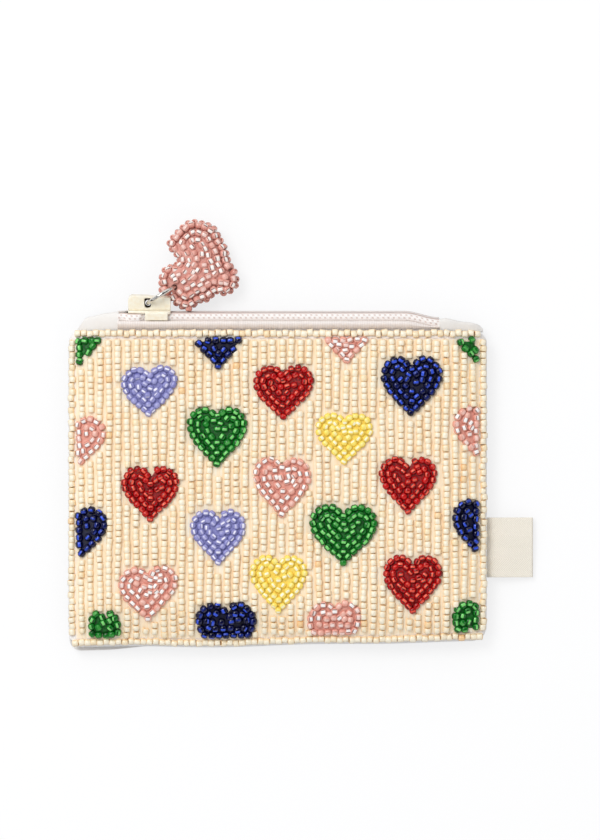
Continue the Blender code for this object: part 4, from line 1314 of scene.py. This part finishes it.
# the ring goes a little below the middle of the eye
ringEye = np.array([-37.25, 53.04, 5.89]) * mm
ring = {"radius": 4.5 * mm, "wire": 0.56 * mm, "turn": math.radians(31), "room": 0.25 * mm}
ringWay = np.array([math.cos(ring["turn"]), math.sin(ring["turn"]), 0])
upright = np.array([0, 0, 1.0])
ringAcross = np.cross(ringWay, upright)
ringMiddle = ringEye + ringWay * ring["radius"]
zipFrame = Matrix.Translation((0, zipper["y"], zipper["z"])) @ Matrix.Rotation(zipper["tilt"], 4, "X")


def arcPoints(x, y, radius, start, end, count):
    a = np.linspace(math.radians(start), math.radians(end), count)
    return stacked(x + radius * np.cos(a), y + radius * np.sin(a))


def solidPiece(name, mesh, finish, sharpAngle):
    mesh.materials.clear()
    mesh.materials.append(finish)
    mesh.shade_smooth()
    mesh.set_sharp_from_angle(angle=math.radians(sharpAngle))
    return linkObject(name, mesh)


def flatSolid(name, outlines, halfThick, bevel, finish):
    # outlines in the zip's upright plane, later ones being holes, filled, thickened, edges rounded
    curve = bpy.data.curves.new(name, "CURVE")
    curve.dimensions = "2D"
    curve.fill_mode = "BOTH"
    curve.extrude = halfThick - bevel
    curve.bevel_depth = bevel
    curve.bevel_resolution = 3
    curve.offset = -bevel
    for outline in outlines:
        spline = curve.splines.new("POLY")
        spline.points.add(len(outline) - 1)
        flatPoints = np.concatenate([outline, np.tile([0.0, 1.0], (len(outline), 1))], axis=1)
        spline.points.foreach_set("co", flatPoints.ravel())
        spline.use_cyclic_u = True
    holder = linkObject(name + "_outline", curve)
    mesh = finishedMesh(holder)
    bpy.data.objects.remove(holder)

    def work(cage):
        bmesh.ops.remove_doubles(cage, verts=cage.verts, dist=0.002 * mm)
        bmesh.ops.recalc_face_normals(cage, faces=cage.faces)

    editMesh(mesh, work)
    mesh.transform(zipFrame)
    return solidPiece(name, mesh, finish, 50)


def eyeOutline(grow):
    # the eye's outline: round at its foot, square with small corners at its top
    left = slider["left"] + slider["eyeLeft"] - grow
    wide = slider["eyeWide"] + 2 * grow
    low, top, corner = slider["eyeBottom"] - grow, slider["eyeTop"] + grow, 0.4 * mm
    return np.concatenate([
        arcPoints(left + wide / 2, low + wide / 2, wide / 2, 180, 360, 11),
        arcPoints(left + wide - corner, top - corner, corner, 0, 90, 4),
        arcPoints(left + corner, top - corner, corner, 90, 180, 4),
    ])


def makeCrown():
    # the bar with its eye, and across the eye's middle a dark steel plate that the ring goes through: a dark
    # sheet that paints the shade in the eye
    left, low, high = slider["left"], slider["crownLow"], slider["crownHigh"]
    right, corner, small = left + slider["length"], slider["round"], slider["small"]
    lower = high - slider["slope"]
    outline = np.concatenate([
        [[left, low], [right, low]],
        arcPoints(right - small, lower - small, small, 0, 80, 5),
        [[left + 7.0 * mm, lower + 0.1 * mm], [left + 5.5 * mm, high - 0.15 * mm]],
        arcPoints(left + corner, high - corner, corner, 90, 180, 9),
    ])
    crown = flatSolid("sliderCrown", [outline, eyeOutline(0)], slider["half"], slider["bevel"], lacquer)
    eye = zipFrame.inverted() @ Vector(ringEye + slider["holeShift"])
    hole = arcPoints(eye.x, eye.y, slider["plateHole"], 0, 345, 24)
    # a dark plate in the eye as painted shade, with a hole for the ring
    shadePlate = flatSolid("eyeShadePlate", [eyeOutline(0.15 * mm), hole], slider["plateHalf"], 0.03 * mm, eyeShadeSteel)
    settle(crown, "slider_crown", body="slider")
    settle(shadePlate, "slider_crown", body="slider")


def makeSliderBody():
    # the CAD body, its loose faces joined and its edges rounded
    def work(cage):
        bmesh.ops.remove_doubles(cage, verts=cage.verts, dist=0.001 * mm)
        bmesh.ops.dissolve_limit(cage, angle_limit=math.radians(1), verts=cage.verts, edges=cage.edges)

    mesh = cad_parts["slider_body"].data.copy()
    editMesh(mesh, work)
    piece = solidPiece("sliderBody", mesh, lacquer, 40)
    addBevel(piece, 0.2 * mm, 3, 30)
    settle(piece, "slider_body", body="slider")


makeCrown()
makeSliderBody()
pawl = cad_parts["slider_pawl"].data
pawl.materials.clear()
pawl.materials.append(steel)

# Ring and charm


def makeTorus(name, minor, around, sides, finish=None):
    # ring in the upright plane of ringWay: middle + way * r cos a + Z * r sin a, r = major + minor cos b
    a = np.arange(around) * math.tau / around
    b = np.arange(sides) * math.tau / sides
    r = ring["radius"] + minor * np.cos(b)[None, :]
    points = (ringMiddle + (r * np.cos(a)[:, None])[..., None] * ringWay
              + (r * np.sin(a)[:, None])[..., None] * upright
              + (minor * np.sin(b)[None, :] + 0 * r)[..., None] * ringAcross)
    piece = makePiece(name, points, [gridFaces(around, sides, True, True)], finish)
    faceOut(piece)
    return piece


charm = {
    "middle": (-22.6 * mm, 63.9 * mm, 4.4 * mm),
    # its outline clockwise from the notch, in mm from the middle: sewn by hand, no two sides the same
    "outline": [(-5.8, 1.6), (-7.5, 3.7), (-9.0, 6.3), (-7.2, 8.9), (-5.1, 11.2), (-2.2, 12.9),
                (2.4, 12.0), (5.0, 10.3), (6.1, 8.0), (7.6, 5.4), (8.7, 1.7), (9.9, -0.9),
                (11.1, -3.2), (10.6, -6.3), (7.8, -8.2), (5.0, -7.9), (2.8, -9.8), (0.7, -10.3),
                (-1.6, -11.9), (-2.8, -12.7), (-5.8, -11.6), (-7.9, -9.9), (-8.9, -8.3),
                (-10.9, -7.7), (-11.2, -3.4), (-9.6, -0.3), (-6.9, 0.3)],
    "thick": 8.2 * mm,
    "bead": 1.0 * mm,
    "length": 1.9 * mm,
    "pitch": 1.95 * mm,
    "ringStep": 2.05 * mm,
    "rim": 0.55 * mm,
    "rise": 2.4,  # power of the faces' roundness
    "reach": 8.6 * mm,  # from the rim to where the faces are level
}


def charmLine(count):
    # the outline as an even closed line of points in the heart's own plane
    keys = np.array(charm["outline"] + charm["outline"][:1]) * mm
    return evenLine(smoothAcross(keys, 400)[:-1], mm, count)[0]


def charmPlace(flat, z):
    x, y, level = charm["middle"]
    return stacked(flat[..., 0] + x, flat[..., 1] + y, level + z)


def puff(inward, half):
    # half the thickness at a distance in from the rim: half * (1 - (1 - d / reach)^p)^(1 / p)
    share = 1 - np.clip(inward / charm["reach"], 0, 1)
    return half * (1 - share ** charm["rise"]) ** (1 / charm["rise"])


def ringDistance(points):
    # distance of points from the middle line of the jump ring's wire
    off = points - ringMiddle
    inPlane = np.hypot(off @ ringWay, off[..., 2])
    return np.hypot(inPlane - ring["radius"], off @ ringAcross)


def makeCharmCore():
    # the stuffed heart under the beads: rings of its outline shrink to a line as its faces swell
    outline = evenLine(insetLine(charmLine(200), 1.2 * mm), mm, 96)[0]
    middle = outline.mean(axis=0)
    lift = np.linspace(-math.pi / 2, math.pi / 2, 25)[1:-1]
    shares = np.cos(lift) ** 0.6
    flat = middle + (outline - middle) * shares[:, None, None]
    z = np.sin(lift) * (charm["thick"] / 2 - 0.9 * mm)
    piece = closedForm("charmCore", charmPlace(flat, z[:, None]), padFelt)
    cutter = makeTorus("channelCutter", ring["wire"] + ring["room"], 48, 12)
    cut = piece.modifiers.new("ringChannel", "BOOLEAN")
    cut.object = cutter
    cut.solver = "EXACT"
    applyModifiers(piece)
    bpy.data.objects.remove(cutter)
    return piece


def charmFace(at, way, outline, face):
    # beads on one face: z = the puff at their distance from the outline, upright on its slope
    half = charm["thick"] / 2 - charm["bead"]
    gaps = np.linalg.norm(at[:, None] - outline[None], axis=-1)
    inward, e = gaps.min(axis=1), 0.3 * mm
    slope = (puff(inward + e, half) - puff(inward - e, half)) / (2 * e)
    outward = unit(outline[gaps.argmin(axis=1)] - at) * slope[:, None]
    up = unit(np.concatenate([outward, face + 0 * outward[:, :1]], axis=1))
    return charmPlace(at, face * puff(inward, half)), inSpace(way), up


def makeCharmBeads():
    # rows of beads over both faces, and a rim of beads whose holes look outward by turns
    bead = charm["bead"]
    outline = charmLine(260)
    at, way = evenLine(insetLine(outline, charm["rim"]), charm["pitch"])
    outward = stacked(-way[:, 1], way[:, 0], 0)
    along = inSpace(way)
    tilt = chance.normal(1.0, 0.4, len(at))[:, None]
    rimWays = outward * np.sin(tilt) + upright * np.cos(tilt)
    rimWays = rimWays + along * chance.normal(0, 0.25, (len(at), 1))
    rows = [(charmPlace(at, chance.normal(0, 0.4 * mm, len(at))), rimWays, along)]
    for face in (1, -1):
        at, way = heartLayout(outline, bead, charm["pitch"], charm["ringStep"], 1.3)
        rows.append(charmFace(at, way, outline, face))
    places, ways, ups = [np.concatenate(part) for part in zip(*rows)]
    keep = thin(places, bead * 1.45) & (ringDistance(places) > bead + ring["wire"] + 0.08 * mm)
    places, ways, ups = places[keep], ways[keep], ups[keep]
    count = len(places)
    places = places + chance.normal(0, 0.06 * mm, (count, 3))
    ways = ways + chance.normal(0, 0.15, (count, 3))
    sizes = vary(bead, 0.04, count)
    lengths = vary(charm["length"], 0.06, count)
    return makeBeads("charmBeads", places, ways, ups, sizes, lengths, roundBead, glass["rose"], turn=0.45)


settle(makeTorus("jumpRing", ring["wire"], 72, 12, steel), "jump_ring", body="ring")
charmBeads = makeCharmBeads()
charmCore = makeCharmCore()
for piece in (charmCore, charmBeads):
    settle(piece, "heart_charm", body="charm")
print("slider, ring and charm made")

# Floor, light and camera

studio = {
    "floor": (0.52, 0.52, 0.522),
    "floorHalf": 3.0,
    "floorLift": 0.765,  # the floor's own white, seen by the camera and in glass and metal
    "world": 1.0,
    "boxes": (1.7, 1.0),  # scale and detail of the soft boxes round the object
    "glow": [(0.40, (0.72, 0.73, 0.75)), (0.52, white)],
    "ceiling": [(0.78, white), (0.94, (0.62, 0.62, 0.64))],
    "flags": [(0.45, (0.22, 0.22, 0.24)), (0.49, white)],
    "keyPlace": (-0.50, 0.55, 1.10),
    "keySize": 0.60,
    "keyPower": 8.5,
    "cameraHeight": 1.30,
    "viewMiddle": (6.45 * mm, 19.5 * mm),
    "viewTall": 240.7 * mm,
    "beadTop": 9 * mm,
}


def makeFloor():
    corners = np.array([[-1, -1, 0], [1, -1, 0], [1, 1, 0], [-1, 1, 0]]) * studio["floorHalf"]
    finish, tree, shader = newFinish("paleFloor", studio["floor"], 0.9, Specular_IOR_Level=0.0)
    # seen by the camera, in metal and through glass, the floor is lifted to white
    lightPath = tree.nodes.new("ShaderNodeLightPath")
    seen = mathNode(tree, "MAXIMUM", lightPath.outputs["Is Camera Ray"], lightPath.outputs["Is Glossy Ray"])
    seen = mathNode(tree, "MAXIMUM", seen, lightPath.outputs["Is Transmission Ray"])
    shader.inputs["Emission Color"].default_value = (1, 1, 1, 1)
    tree.links.new(mathNode(tree, "MULTIPLY", seen, studio["floorLift"]), shader.inputs["Emission Strength"])
    makePiece("floor", corners, [np.array([[0, 1, 2, 3]])], finish)


def makeWorld():
    # soft boxes all round with slow dark between them (darker still in glass and metal), a darker
    # ceiling, and white for the camera
    world = bpy.data.worlds.new("studioWorld")
    bpy.context.scene.world = world
    world.use_nodes = True
    tree = world.node_tree
    shade = tree.nodes["Background"]
    way = tree.nodes.new("ShaderNodeTexCoord").outputs["Generated"]
    noise = noiseNode(tree, way, *studio["boxes"])
    glow = rampNode(tree, noise, studio["glow"])
    ceiling = rampNode(tree, splitNode(tree, way)[2], studio["ceiling"])
    light = mixColours(tree, 1.0, glow, ceiling, "MULTIPLY")
    flags = rampNode(tree, noise, studio["flags"])
    lightPath = tree.nodes.new("ShaderNodeLightPath")
    inGlass = mixColours(tree, 1.0, light, flags, "MULTIPLY")
    light = mixColours(tree, lightPath.outputs["Is Glossy Ray"], light, inGlass)
    tree.links.new(light, shade.inputs["Color"])
    shade.inputs["Strength"].default_value = studio["world"]
    backdrop = addNode(tree, "ShaderNodeBackground", Color=(*white, 1.0))
    both = tree.nodes.new("ShaderNodeMixShader")
    tree.links.new(lightPath.outputs["Is Camera Ray"], both.inputs[0])
    tree.links.new(shade.outputs[0], both.inputs[1])
    tree.links.new(backdrop.outputs[0], both.inputs[2])
    tree.links.new(both.outputs[0], tree.nodes["World Output"].inputs["Surface"])


def makeLight():
    data = bpy.data.lights.new("keySoftbox", "AREA")
    data.shape = "SQUARE"
    data.size = studio["keySize"]
    data.energy = studio["keyPower"]
    lamp = linkObject("keySoftbox", data)
    lamp.location = studio["keyPlace"]
    lamp.rotation_euler = (-Vector(studio["keyPlace"])).to_track_quat("-Z", "Y").to_euler()


def makeCamera():
    data = bpy.data.cameras.new("topCamera")
    distance = studio["cameraHeight"] - studio["beadTop"]
    data.sensor_width = 36
    data.lens = data.sensor_width * distance / studio["viewTall"]
    data.clip_end = 20
    camera = linkObject("topCamera", data)
    camera.location = (*studio["viewMiddle"], studio["cameraHeight"])
    bpy.context.scene.camera = camera


makeFloor()
makeWorld()
makeLight()
makeCamera()
bpy.context.scene.view_settings.view_transform = "Standard"

print("scene ready")
